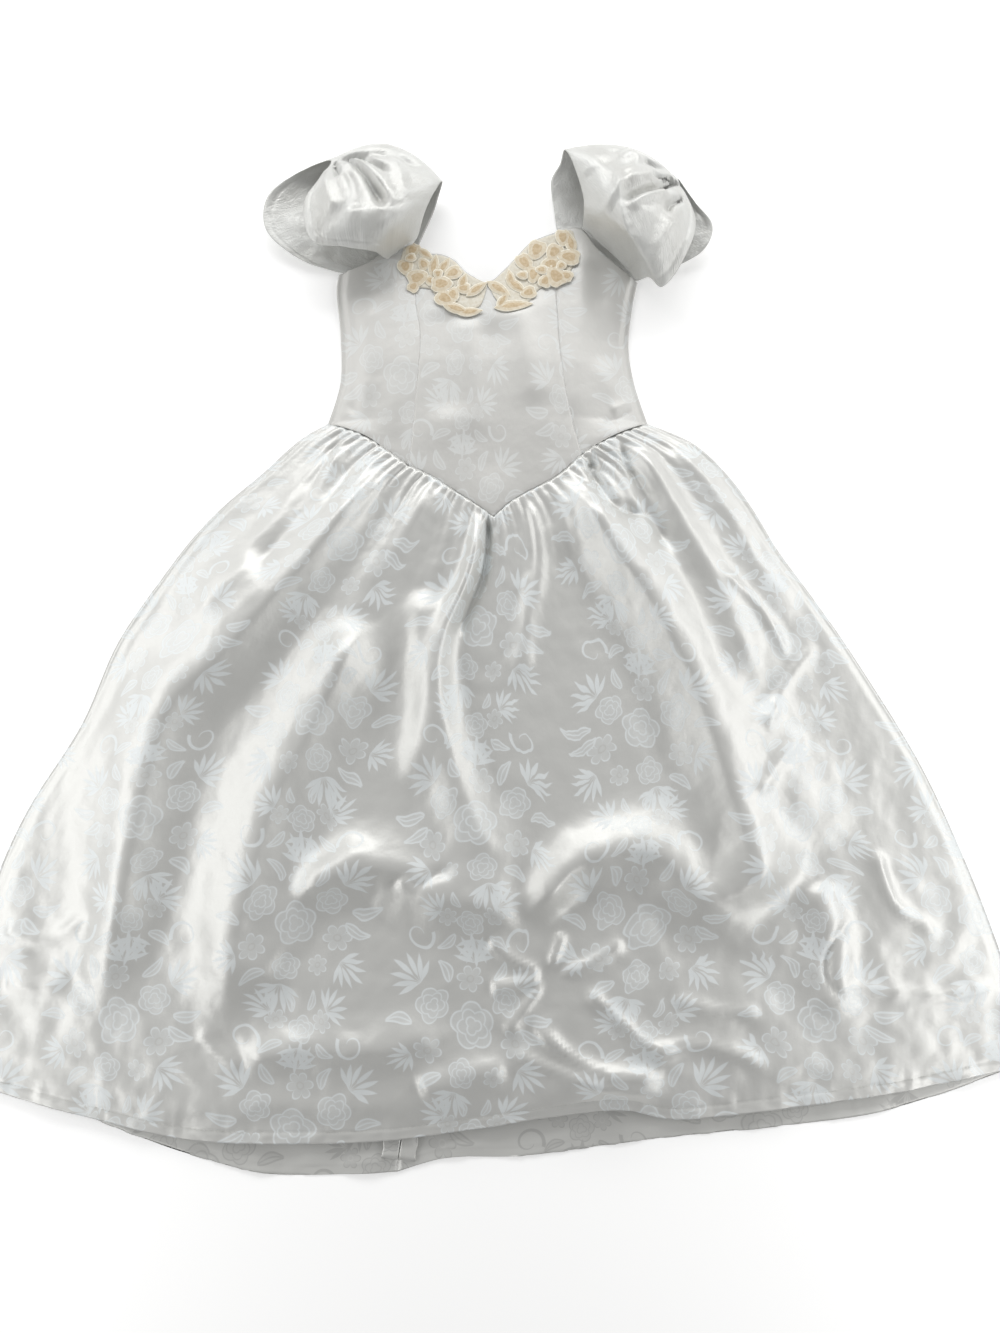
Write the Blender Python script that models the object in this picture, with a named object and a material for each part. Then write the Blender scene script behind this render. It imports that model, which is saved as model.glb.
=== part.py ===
# A floral jacquard satin wedding dress with off-the-shoulder sleeves, lying on its back on a flat surface.
# Metres, +Z up, +Y from the hem towards the neck, +X across. "Left" is the side at -X, as the dress lies.
# The plan is drawn from the middle of the side waist, and LAY_SHIFT then centres the whole on the origin.

import math

import bmesh
import bpy
from mathutils import Vector

# ---- Driving sizes ----
CLOTH = 0.0015  # wall of each cloth panel
LACE_WALL = 0.0010
GAP = 0.0003  # clearance at every seam and between layers
LACE_LIFT = 0.0005  # clearance under the lace, which bridges the small hollows of the bodice
SLEEVE_LIFT = 0.0008  # clearance where a sleeve starts over the corner of the bodice
LAYER = CLOTH + GAP  # height at which the front layer rests on the back layer
LAY_SHIFT = (-0.0015, 0.2760)  # from the middle of the waist to the middle of the whole
SETTLE = 0.005  # how softly the front layer comes down onto the back layer
HEM_EASE = 0.060  # how far above the hem the folds die out
SIDE_EASE = 0.045  # how far in from the side seams the folds die out
ZIP_WIDTH, ZIP_TOP, ZIP_FOOT = 0.024, 0.145, -0.165
ZIP_WALL = 0.0012
STEEPEST = 0.45  # least upward part of a slope's normal, so that no wall grows too tall
CURVE_STEPS = 240  # short steps along a curve when it is measured

# ---- Outlines of the plan, each (x, y) ----
SIDE_LEFT = (
    (-0.209, 0.219), (-0.211, 0.190), (-0.204, 0.130), (-0.202, 0.060), (-0.217, 0.000),
    (-0.255, -0.024), (-0.304, -0.072), (-0.349, -0.113), (-0.386, -0.154), (-0.422, -0.205),
    (-0.480, -0.300), (-0.520, -0.408), (-0.579, -0.514), (-0.614, -0.608), (-0.640, -0.730),
    (-0.648, -0.822),
)
SIDE_RIGHT = (
    (0.205, 0.207), (0.197, 0.170), (0.190, 0.115), (0.196, 0.060), (0.213, 0.000),
    (0.275, -0.029), (0.320, -0.075), (0.352, -0.124), (0.381, -0.178), (0.426, -0.246),
    (0.472, -0.320), (0.544, -0.451), (0.592, -0.571), (0.626, -0.678), (0.645, -0.760), (0.651, -0.820),
)
SIDE_BREAK = 4  # the point of each side line that lies on the waist
WAIST = (
    (-0.217, 0.000), (-0.186, -0.013), (-0.159, -0.027), (-0.132, -0.048), (-0.105, -0.068), (-0.071, -0.086),
    (-0.045, -0.104), (-0.018, -0.122), (0.006, -0.140), (0.033, -0.116), (0.068, -0.096), (0.096, -0.078),
    (0.122, -0.052), (0.148, -0.034), (0.178, -0.017), (0.213, 0.000),
)
WAIST_TIP = 8  # the point of the waist line at the tip of the basque
PRINCESS_LEFT = ((-0.104, 0.257), (-0.100, 0.168), (-0.093, 0.114), (-0.098, 0.024), (-0.105, -0.068))
PRINCESS_RIGHT = ((0.088, 0.275), (0.092, 0.158), (0.096, 0.091), (0.105, 0.020), (0.122, -0.052))
NECKLINE = (
    (-0.104, 0.257), (-0.087, 0.243), (-0.065, 0.240), (-0.047, 0.230), (-0.030, 0.211), (-0.003, 0.196),
    (0.019, 0.214), (0.037, 0.236), (0.057, 0.259), (0.088, 0.275),
)
ARMHOLE_LEFT = ((-0.209, 0.219), (-0.172, 0.231), (-0.136, 0.250), (-0.104, 0.257))
ARMHOLE_RIGHT = ((0.088, 0.275), (0.110, 0.283), (0.130, 0.281), (0.152, 0.250), (0.205, 0.207))
BACK_TOP_LEFT = ((-0.209, 0.219), (-0.150, 0.212), (-0.100, 0.202), (-0.050, 0.168), (0.000, 0.155))
BACK_TOP_RIGHT = ((0.000, 0.155), (0.050, 0.166), (0.100, 0.196), (0.150, 0.202), (0.205, 0.207))
FRONT_HEM = (
    (-0.648, -0.822), (-0.584, -0.850), (-0.462, -0.881), (-0.342, -0.904), (-0.163, -0.906),
    (-0.045, -0.895), (0.074, -0.877), (0.160, -0.869), (0.223, -0.880), (0.343, -0.869),
    (0.493, -0.850), (0.580, -0.833), (0.651, -0.820),
)
BACK_HEM_LEFT = (
    (-0.646, -0.812), (-0.540, -0.850), (-0.421, -0.896),
    (-0.342, -0.922), (-0.246, -0.943), (-0.108, -0.940),
)
BACK_HEM_RIGHT = (
    (-0.108, -0.940), (-0.045, -0.924), (0.044, -0.922), (0.194, -0.902), (0.373, -0.882), (0.495, -0.861),
    (0.649, -0.810),
)
CENTRE_BACK = ((0.000, 0.000), (-0.040, -0.400), (-0.108, -0.940))
BACK_INSET = 0.0015  # the back skirt's side edges lie this far inside the front's

# ---- How high the front layer puffs up at its middle: (y, rise) ----
RISE = (
    (0.290, 0.012), (0.200, 0.020), (0.080, 0.026), (-0.060, 0.026), (-0.200, 0.024), (-0.450, 0.022),
    (-0.700, 0.018), (-0.900, 0.014),
)

# ---- Largest folds of the skirt: (path, half width, height), a ridge above zero and a trough below ----
FOLDS = (
    (((-0.190, -0.050), (-0.270, -0.205), (-0.370, -0.300),
      (-0.418, -0.380), (-0.432, -0.560), (-0.468, -0.756)), 0.028, 0.024),
    (((-0.150, -0.055), (-0.202, -0.154), (-0.232, -0.237), (-0.292, -0.314),
      (-0.372, -0.391), (-0.384, -0.504), (-0.384, -0.625), (-0.440, -0.770)), 0.032, -0.026),
    (((-0.160, -0.170), (-0.210, -0.301), (-0.322, -0.479), (-0.338, -0.684)), 0.042, 0.018),
    (((-0.082, -0.110), (-0.128, -0.195), (-0.172, -0.314)), 0.018, 0.012),
    (((-0.105, -0.200), (-0.130, -0.300), (-0.146, -0.429),
      (-0.200, -0.520), (-0.266, -0.625), (-0.293, -0.719)), 0.028, -0.024),
    (((-0.060, -0.170), (-0.096, -0.301), (-0.080, -0.500), (-0.020, -0.600)), 0.024, 0.016),
    (((0.002, -0.150), (-0.024, -0.248), (-0.058, -0.350), (-0.033, -0.504), (0.033, -0.631)), 0.018, -0.026),
    (((0.050, -0.140), (0.092, -0.248), (0.130, -0.420), (0.110, -0.560)), 0.045, 0.014),
    (((0.078, -0.110), (0.131, -0.248), (0.223, -0.404), (0.238, -0.504), (0.278, -0.601)), 0.030, -0.026),
    (((0.120, -0.090), (0.176, -0.208), (0.250, -0.327), (0.290, -0.429), (0.340, -0.580)), 0.024, 0.020),
    (((0.199, -0.060), (0.255, -0.200), (0.285, -0.270)), 0.018, -0.012),
    (((0.232, -0.070), (0.296, -0.235), (0.400, -0.440), (0.440, -0.600)), 0.032, 0.013),
    (((0.110, -0.570), (0.187, -0.570), (0.259, -0.622), (0.340, -0.600)), 0.022, 0.014),
    (((0.180, -0.620), (0.258, -0.665), (0.387, -0.742)), 0.034, -0.018),
    (((-0.129, -0.740), (-0.071, -0.660), (0.051, -0.700)), 0.034, -0.014),
    (((-0.260, -0.776), (-0.176, -0.790), (-0.057, -0.782)), 0.022, 0.014),
    (((0.445, -0.589), (0.491, -0.719)), 0.028, -0.012),
)
BODICE_FOLDS = (
    (((-0.116, 0.125), (-0.113, 0.060), (-0.118, -0.050)), 0.018, -0.006),
    (((0.128, 0.125), (0.122, 0.080), (0.114, 0.000)), 0.018, -0.005),
    (((0.006, 0.120), (0.002, 0.040), (0.006, -0.110)), 0.032, -0.004),
)

# ---- Sleeves, from the bodice front over the fold to its back ----
# (hem x, y, z, free edge x, y, z, puff out in plan, puff up)
SLEEVE_LEFT = (
    (-0.134, 0.240, 0.000, -0.106, 0.256, 0.000, 0.000, 0.000),
    (-0.152, 0.222, 0.052, -0.090, 0.282, 0.040, 0.000, 0.022),
    (-0.190, 0.223, 0.062, -0.079, 0.308, 0.045, 0.000, 0.030),
    (-0.236, 0.233, 0.062, -0.070, 0.328, 0.042, 0.000, 0.030),
    (-0.248, 0.294, 0.058, -0.066, 0.338, 0.038, 0.018, 0.026),
    (-0.216, 0.360, 0.048, -0.065, 0.345, 0.026, 0.036, 0.008),
    (-0.264, 0.358, 0.028, -0.070, 0.338, 0.012, 0.018, -0.012),
    (-0.307, 0.326, 0.022, -0.080, 0.310, 0.003, 0.000, -0.008),
    (-0.308, 0.276, 0.018, -0.096, 0.270, 0.002, 0.000, -0.006),
    (-0.262, 0.238, 0.010, -0.106, 0.236, 0.002, 0.000, -0.003),
    (-0.209, 0.2225, 0.002, -0.112, 0.2105, 0.002, 0.000, 0.000),
)
SLEEVE_RIGHT = (
    (0.196, 0.217, 0.000, 0.129, 0.281, 0.000, 0.000, 0.000),
    (0.214, 0.190, 0.044, 0.129, 0.294, 0.040, 0.000, 0.022),
    (0.231, 0.171, 0.054, 0.127, 0.314, 0.048, 0.000, 0.030),
    (0.258, 0.206, 0.060, 0.116, 0.350, 0.050, 0.000, 0.030),
    (0.277, 0.266, 0.056, 0.106, 0.376, 0.048, -0.006, 0.022),
    (0.257, 0.334, 0.048, 0.102, 0.386, 0.036, -0.024, 0.006),
    (0.284, 0.312, 0.028, 0.098, 0.376, 0.022, -0.010, -0.010),
    (0.307, 0.282, 0.022, 0.086, 0.356, 0.012, 0.000, -0.008),
    (0.297, 0.250, 0.016, 0.090, 0.318, 0.004, 0.000, -0.005),
    (0.262, 0.230, 0.008, 0.096, 0.270, 0.002, 0.000, -0.002),
    (0.206, 0.2105, 0.002, 0.104, 0.202, 0.002, 0.000, 0.000),
)

# ---- Lower edges of the two lace sprays: (x, y) from the outer corner to the middle ----
LACE_LEFT_FOOT = (
    (-0.128, 0.232), (-0.119, 0.206), (-0.102, 0.184), (-0.080, 0.176),
    (-0.068, 0.152), (-0.040, 0.140), (-0.012, 0.152), (-0.003, 0.184),
)
LACE_RIGHT_FOOT = (
    (0.000, 0.184), (0.010, 0.160), (0.032, 0.148), (0.054, 0.154),
    (0.070, 0.182), (0.100, 0.184), (0.118, 0.222), (0.122, 0.262),
)
LACE_TOP_LEFT = (
    (-0.122, 0.250), (-0.104, 0.254), (-0.087, 0.240), (-0.065, 0.237),
    (-0.047, 0.227), (-0.030, 0.208), (-0.003, 0.193),
)
LACE_TOP_RIGHT = (
    (0.001, 0.193), (0.019, 0.211), (0.037, 0.233), (0.057, 0.256),
    (0.088, 0.272), (0.110, 0.279), (0.118, 0.276),
)

# ---- Grid of each piece: columns across, rows down ----
BODICE_ROWS = 16
SIDE_COLUMNS, CENTRE_COLUMNS = 7, 14
SKIRT_ROWS = 21
SLEEVE_GRID = (22, 9)
LACE_GRID = (16, 3)

# ---- Materials: (base colour, roughness, metallic) ----
MATERIALS = {
    "jacquard_satin": ((0.78, 0.80, 0.78), 0.34, 0.0),
    "plain_satin": ((0.80, 0.81, 0.79), 0.38, 0.0),
    "appliqued_lace": ((0.82, 0.72, 0.56), 0.80, 0.0),
    "zip_tape": ((0.80, 0.80, 0.77), 0.70, 0.0),
}


def clear_scene():
    for obj in list(bpy.data.objects):
        bpy.data.objects.remove(obj, do_unlink=True)


def material(name):
    made = bpy.data.materials.get(name)
    if made is None:
        colour, roughness, metallic = MATERIALS[name]
        made = bpy.data.materials.new(name)
        made.use_nodes = True
        shader = made.node_tree.nodes["Principled BSDF"]
        shader.inputs["Base Color"].default_value = (*colour, 1.0)
        shader.inputs["Roughness"].default_value = roughness
        shader.inputs["Metallic"].default_value = metallic
    return made


def smoothstep(value):
    value = min(max(value, 0.0), 1.0)
    return value * value * (3.0 - 2.0 * value)


def spline_point(points, place):
    # A Catmull-Rom curve through the points: place runs from 0 at the first to 1 at the last.
    last = len(points) - 1
    at = min(max(place, 0.0), 1.0) * last
    index = min(int(at), last - 1)
    t = at - index
    before, start, end, after = (Vector(points[min(max(index + step, 0), last)]) for step in (-1, 0, 1, 2))
    return 0.5 * (
        2.0 * start
        + (end - before) * t
        + (2.0 * before - 5.0 * start + 4.0 * end - after) * t * t
        + (3.0 * start - before - 3.0 * end + after) * t * t * t
    )


def even_points(points, count):
    # count + 1 points at even distances along the curve.
    fine = [spline_point(points, step / CURVE_STEPS) for step in range(CURVE_STEPS + 1)]
    run = [0.0]
    for start, end in zip(fine, fine[1:]):
        run.append(run[-1] + (end - start).length)
    found, index = [], 0
    for step in range(count + 1):
        wanted = run[-1] * step / count
        while index < CURVE_STEPS - 1 and run[index + 1] < wanted:
            index += 1
        share = (wanted - run[index]) / max(run[index + 1] - run[index], 1e-9)
        found.append(fine[index].lerp(fine[index + 1], share))
    return found


def at_height(points, y):
    # The x of a line that runs down the plan, at one y.
    if y >= points[0][1]:
        return points[0][0]
    for (x0, y0), (x1, y1) in zip(points, points[1:]):
        if y >= y1:
            return x0 + (x1 - x0) * (y0 - y) / (y0 - y1)
    return points[-1][0]


def across(points, x):
    # The y of a line that runs across the plan, at one x.
    if x <= points[0][0]:
        return points[0][1]
    for (x0, y0), (x1, y1) in zip(points, points[1:]):
        if x <= x1:
            return y0 + (y1 - y0) * (x - x0) / (x1 - x0)
    return points[-1][1]


def fold_paths(folds):
    return [(even_points(path, 12), half_width, height) for path, half_width, height in folds]


SKIRT_PATHS = fold_paths(FOLDS)
BODICE_PATHS = fold_paths(BODICE_FOLDS)


def fold_lift(x, y, paths):
    # Each fold is a soft ridge or trough along its path, fading in and out over the path's ends.
    total = 0.0
    here = Vector((x, y))
    for path, half_width, height in paths:
        nearest, share = 1e9, 0.0
        for index, (start, end) in enumerate(zip(path, path[1:])):
            run = end - start
            t = min(max((here - start).dot(run) / run.length_squared, 0.0), 1.0)
            distance = (here - start - run * t).length
            if distance < nearest:
                nearest, share = distance, (index + t) / (len(path) - 1)
        fade = smoothstep(share / 0.12 + 0.35) * smoothstep((1.0 - share) / 0.22)
        total += height * fade * math.exp(-((nearest / half_width) ** 2))
    return total


def rise_at(y):
    if y >= RISE[0][0]:
        return RISE[0][1]
    for (y0, r0), (y1, r1) in zip(RISE, RISE[1:]):
        if y >= y1:
            return r0 + (r1 - r0) * smoothstep((y0 - y) / (y0 - y1))
    return RISE[-1][1]


def front_height(x, y):
    # Height of the front layer's underside above the surface that the dress lies on.
    left, right = at_height(SIDE_LEFT, y), at_height(SIDE_RIGHT, y)
    across_share = min(max((x - left) / (right - left), 0.0), 1.0)
    dome = 1.0 - abs(2.0 * across_share - 1.0) ** 4
    side = smoothstep(min(x - left, right - x) / SIDE_EASE)
    above_waist = y - across(WAIST, x)
    if above_waist >= 0.0:
        lift = rise_at(y) * dome + fold_lift(x, y, BODICE_PATHS) * side * smoothstep(above_waist / 0.03)
    else:
        hem = smoothstep((y - across(FRONT_HEM, x)) / HEM_EASE)
        folds = fold_lift(x, y, SKIRT_PATHS) * side * smoothstep(-above_waist / 0.03)
        lift = (rise_at(y) * dome + folds) * (0.20 + 0.80 * hem)
    return LAYER + 0.5 * (lift + math.sqrt(lift * lift + SETTLE * SETTLE)) * smoothstep(side / 0.25)


def patch(top, foot, left, right):
    # A grid of plan points between four edges: top and foot run to +X, left and right run down.
    rows = []
    for row, (start, end) in enumerate(zip(left, right)):
        down = row / (len(left) - 1)
        points = []
        for column, (high, low) in enumerate(zip(top, foot)):
            along = column / (len(top) - 1)
            corners = (
                top[0] * (1 - along) * (1 - down) + top[-1] * along * (1 - down)
                + foot[0] * (1 - along) * down + foot[-1] * along * down
            )
            points.append(high * (1 - down) + low * down + start * (1 - along) + end * along - corners)
        rows.append(points)
    return rows


def moved(points, x=0.0, y=0.0):
    return [point + Vector((x, y)) for point in points]


def settle_object(name, mesh, material_name):
    mesh.materials.append(material(material_name))
    obj = bpy.data.objects.new(name, mesh)
    bpy.context.scene.collection.objects.link(obj)
    obj.location = (*LAY_SHIFT, 0.0)
    mesh.shade_smooth()
    mesh.set_sharp_from_angle(angle=math.radians(50))
    return obj


def grid_faces(bm, rows):
    made = [[bm.verts.new(point) for point in row] for row in rows]
    for upper, lower in zip(made, made[1:]):
        for column in range(len(upper) - 1):
            bm.faces.new((upper[column], lower[column], lower[column + 1], upper[column + 1]))


def wall_over(name, plan, underside, wall, material_name):
    # A wall whose underside follows a height over the plan, and which measures wall across the cloth.
    bm = bmesh.new()
    grid_faces(bm, [[(x, y, underside(x, y)) for x, y in row] for row in plan])
    bm.normal_update()
    slopes = [max(abs(vert.normal.z), STEEPEST) for vert in bm.verts]
    below = list(bm.faces)
    lowest = list(bm.verts)
    raised = bmesh.ops.extrude_face_region(bm, geom=below)["geom"]
    tops = [item for item in raised if isinstance(item, bmesh.types.BMVert)]
    steep = {(round(v.co.x, 7), round(v.co.y, 7)): slope for v, slope in zip(lowest, slopes)}
    for vert in tops:
        vert.co.z += wall / steep[(round(vert.co.x, 7), round(vert.co.y, 7))]
    bmesh.ops.recalc_face_normals(bm, faces=list(bm.faces))
    mesh = bpy.data.meshes.new(name)
    bm.to_mesh(mesh)
    bm.free()
    return settle_object(name, mesh, material_name)


def flat_panel(name, outline, foot_z, wall, material_name):
    bm = bmesh.new()
    face = bm.faces.new([bm.verts.new((x, y, foot_z)) for x, y in outline])
    raised = bmesh.ops.extrude_face_region(bm, geom=[face])["geom"]
    tops = [item for item in raised if isinstance(item, bmesh.types.BMVert)]
    bmesh.ops.translate(bm, verts=tops, vec=(0.0, 0.0, wall))
    bmesh.ops.recalc_face_normals(bm, faces=list(bm.faces))
    mesh = bpy.data.meshes.new(name)
    bm.to_mesh(mesh)
    bm.free()
    return settle_object(name, mesh, material_name)


def waist_points():
    # The waist line's three stretches, one for each front panel. The tip of the basque is in the middle one.
    line = [Vector(point) for point in WAIST]
    left, right = PRINCESS_LEFT[-1][0], PRINCESS_RIGHT[-1][0]
    side_left = [point for point in line if point.x <= left + 1e-6]
    side_right = [point for point in line if point.x >= right - 1e-6]
    to_tip = [point for point in line[: WAIST_TIP + 1] if point.x >= left - 1e-6]
    from_tip = [point for point in line[WAIST_TIP:] if point.x <= right + 1e-6]
    half = CENTRE_COLUMNS // 2
    centre = even_points(to_tip, half)[:-1] + even_points(from_tip, half)
    return even_points(side_left, SIDE_COLUMNS), centre, even_points(side_right, SIDE_COLUMNS)


def make_bodice_front():
    half = GAP / 2
    waist_left, waist_centre, waist_right = waist_points()
    seam_left = even_points(PRINCESS_LEFT, BODICE_ROWS)
    seam_right = even_points(PRINCESS_RIGHT, BODICE_ROWS)
    side_left = even_points(SIDE_LEFT[: SIDE_BREAK + 1], BODICE_ROWS)
    side_right = even_points(SIDE_RIGHT[: SIDE_BREAK + 1], BODICE_ROWS)
    left = patch(even_points(ARMHOLE_LEFT, SIDE_COLUMNS), waist_left, side_left, seam_left)
    centre = patch(even_points(NECKLINE, CENTRE_COLUMNS), waist_centre, seam_left, seam_right)
    right = patch(even_points(ARMHOLE_RIGHT, SIDE_COLUMNS), waist_right, seam_right, side_right)
    for row in left:
        row[-1].x -= half
    for row in centre:
        row[0].x += half
        row[-1].x -= half
    for row in right:
        row[0].x += half
    wall_over("bodice_side_front_left", left, front_height, CLOTH, "jacquard_satin")
    wall_over("bodice_centre_front", centre, front_height, CLOTH, "jacquard_satin")
    wall_over("bodice_side_front_right", right, front_height, CLOTH, "jacquard_satin")


def make_skirt_front():
    waist_left, waist_centre, waist_right = waist_points()
    seam = waist_left[:-1] + waist_centre + waist_right[1:]
    top = [seam[0]]
    for start, end in zip(seam, seam[1:]):
        top += [start.lerp(end, 0.5), end]
    top = moved(top, y=-2 * GAP)
    columns = len(top) - 1
    left = moved(even_points(SIDE_LEFT[SIDE_BREAK:], SKIRT_ROWS), y=-2 * GAP)
    right = moved(even_points(SIDE_RIGHT[SIDE_BREAK:], SKIRT_ROWS), y=-2 * GAP)
    plan = patch(top, even_points(FRONT_HEM, columns), left, right)
    wall_over("skirt_front", plan, front_height, CLOTH, "jacquard_satin")


def make_backs():
    half = GAP / 2
    side_left = SIDE_LEFT[: SIDE_BREAK + 1]
    side_right = SIDE_RIGHT[: SIDE_BREAK + 1]
    top, side = even_points(BACK_TOP_LEFT, 8), even_points(side_left, 8)
    outline = moved(top, -half) + [Vector((-half, 0.0))] + moved(side[::-1][:-1], -half)
    flat_panel("bodice_back_left", outline, 0.0, CLOTH, "jacquard_satin")
    top, side = even_points(BACK_TOP_RIGHT, 8), even_points(side_right, 8)
    outline = moved(top, half) + moved(side[1:], half) + [Vector((half, 0.0))]
    flat_panel("bodice_back_right", outline, 0.0, CLOTH, "jacquard_satin")
    left = moved(even_points(SIDE_LEFT[SIDE_BREAK:], 20), BACK_INSET, -GAP)
    right = moved(even_points(SIDE_RIGHT[SIDE_BREAK:], 20), -BACK_INSET, -GAP)
    seam = moved(even_points(CENTRE_BACK, 8), 0.0, -GAP)
    outline = left[:-1] + even_points(BACK_HEM_LEFT, 14)[:-1] + moved(seam[::-1], -half)
    flat_panel("skirt_back_left", outline, 0.0, CLOTH, "jacquard_satin")
    outline = moved(seam, half) + even_points(BACK_HEM_RIGHT, 18)[1:-1] + right[::-1]
    flat_panel("skirt_back_right", outline, 0.0, CLOTH, "jacquard_satin")


def make_zip():
    half = ZIP_WIDTH / 2
    corners = ((-half, ZIP_TOP), (-half, ZIP_FOOT), (half, ZIP_FOOT), (half, ZIP_TOP))
    outline = [Vector(corner) for corner in corners]
    for point in outline:
        if point.y < 0.0:
            point.x += spline_point(CENTRE_BACK, point.y / CENTRE_BACK[-1][1]).x
    flat_panel("back_zip", outline, LAYER, ZIP_WALL, "zip_tape")


def make_sleeve(name, stations):
    columns, rows = SLEEVE_GRID
    points = []
    for row in range(rows + 1):
        v = row / rows
        line = []
        for column in range(columns + 1):
            u = column / columns
            hem_x, hem_y, hem_z = spline_point([s[0:3] for s in stations], u)
            edge_x, edge_y, edge_z = spline_point([s[3:6] for s in stations], u)
            out, up = spline_point([s[6:8] for s in stations], u)
            belly = 4.0 * v * (1.0 - v)
            run = Vector((edge_x - hem_x, edge_y - hem_y))
            outwards = Vector((-run.y, run.x)).normalized() * out * belly
            x = hem_x + run.x * v + outwards.x
            y = hem_y + run.y * v + outwards.y
            z = hem_z + (edge_z - hem_z) * v + up * belly
            if column == 0:
                z = front_height(x, y) + CLOTH + SLEEVE_LIFT * (1.0 + 3.0 * belly)
            line.append((x, y, max(z, CLOTH)))
        points.append(line)
    bm = bmesh.new()
    grid_faces(bm, points)
    bmesh.ops.recalc_face_normals(bm, faces=list(bm.faces))
    mesh = bpy.data.meshes.new(name)
    bm.to_mesh(mesh)
    bm.free()
    obj = settle_object(name, mesh, "plain_satin")
    if sum(face.normal.z for face in mesh.polygons[: columns // 3]) < 0:
        mesh.flip_normals()
    solid = obj.modifiers.new("cloth", "SOLIDIFY")
    solid.thickness = CLOTH
    solid.offset = 1.0
    solid.use_even_offset = True
    return obj


def make_lace(name, top, foot):
    columns, rows = LACE_GRID
    high = even_points(top, columns)
    low = even_points(foot, columns)
    plan = [[start.lerp(end, row / rows) for start, end in zip(high, low)] for row in range(rows + 1)]

    def on_bodice(x, y):
        reach = 0.006
        east, west = front_height(x + reach, y), front_height(x - reach, y)
        north, south = front_height(x, y + reach), front_height(x, y - reach)
        slope = math.hypot(east - west, north - south) / (2.0 * reach)
        return front_height(x, y) + CLOTH * math.hypot(1.0, slope) + LACE_LIFT

    wall_over(name, plan, on_bodice, LACE_WALL, "appliqued_lace")


clear_scene()
make_backs()
make_zip()
make_bodice_front()
make_skirt_front()
make_sleeve("sleeve_left", SLEEVE_LEFT)
make_sleeve("sleeve_right", SLEEVE_RIGHT)
make_lace("lace_left", LACE_TOP_LEFT, LACE_LEFT_FOOT)
make_lace("lace_right", LACE_TOP_RIGHT, LACE_RIGHT_FOOT)
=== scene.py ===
import math

import bmesh
import bpy
import numpy as np
from mathutils import Matrix, Vector, noise


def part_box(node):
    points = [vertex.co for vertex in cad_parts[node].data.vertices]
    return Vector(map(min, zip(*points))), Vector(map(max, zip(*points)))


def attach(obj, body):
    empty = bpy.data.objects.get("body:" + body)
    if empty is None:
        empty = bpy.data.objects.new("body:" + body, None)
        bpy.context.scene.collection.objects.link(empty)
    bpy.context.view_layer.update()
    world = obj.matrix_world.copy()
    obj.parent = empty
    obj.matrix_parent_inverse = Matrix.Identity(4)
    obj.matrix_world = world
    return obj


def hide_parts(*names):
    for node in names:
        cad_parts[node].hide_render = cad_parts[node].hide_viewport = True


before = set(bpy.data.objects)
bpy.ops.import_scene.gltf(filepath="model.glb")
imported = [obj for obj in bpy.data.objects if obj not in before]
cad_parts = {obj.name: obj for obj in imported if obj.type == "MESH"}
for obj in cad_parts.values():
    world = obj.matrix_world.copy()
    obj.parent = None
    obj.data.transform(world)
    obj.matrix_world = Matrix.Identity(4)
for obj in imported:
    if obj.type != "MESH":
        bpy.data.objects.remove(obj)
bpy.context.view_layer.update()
print("dress: frame loaded")

# The plan is drawn from the middle of the waist: +x across, +y towards the neck.
# planShift puts it in the frame.
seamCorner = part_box("bodice_back_left")
seamGap = 0.0003  # between neighbouring solids of the frame
planShift = (seamCorner[1].x + seamGap / 2, seamCorner[0].y)
clothWall = seamCorner[1].z - seamCorner[0].z
restHeight = clothWall + seamGap  # where the front layer lies on the back one

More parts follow.
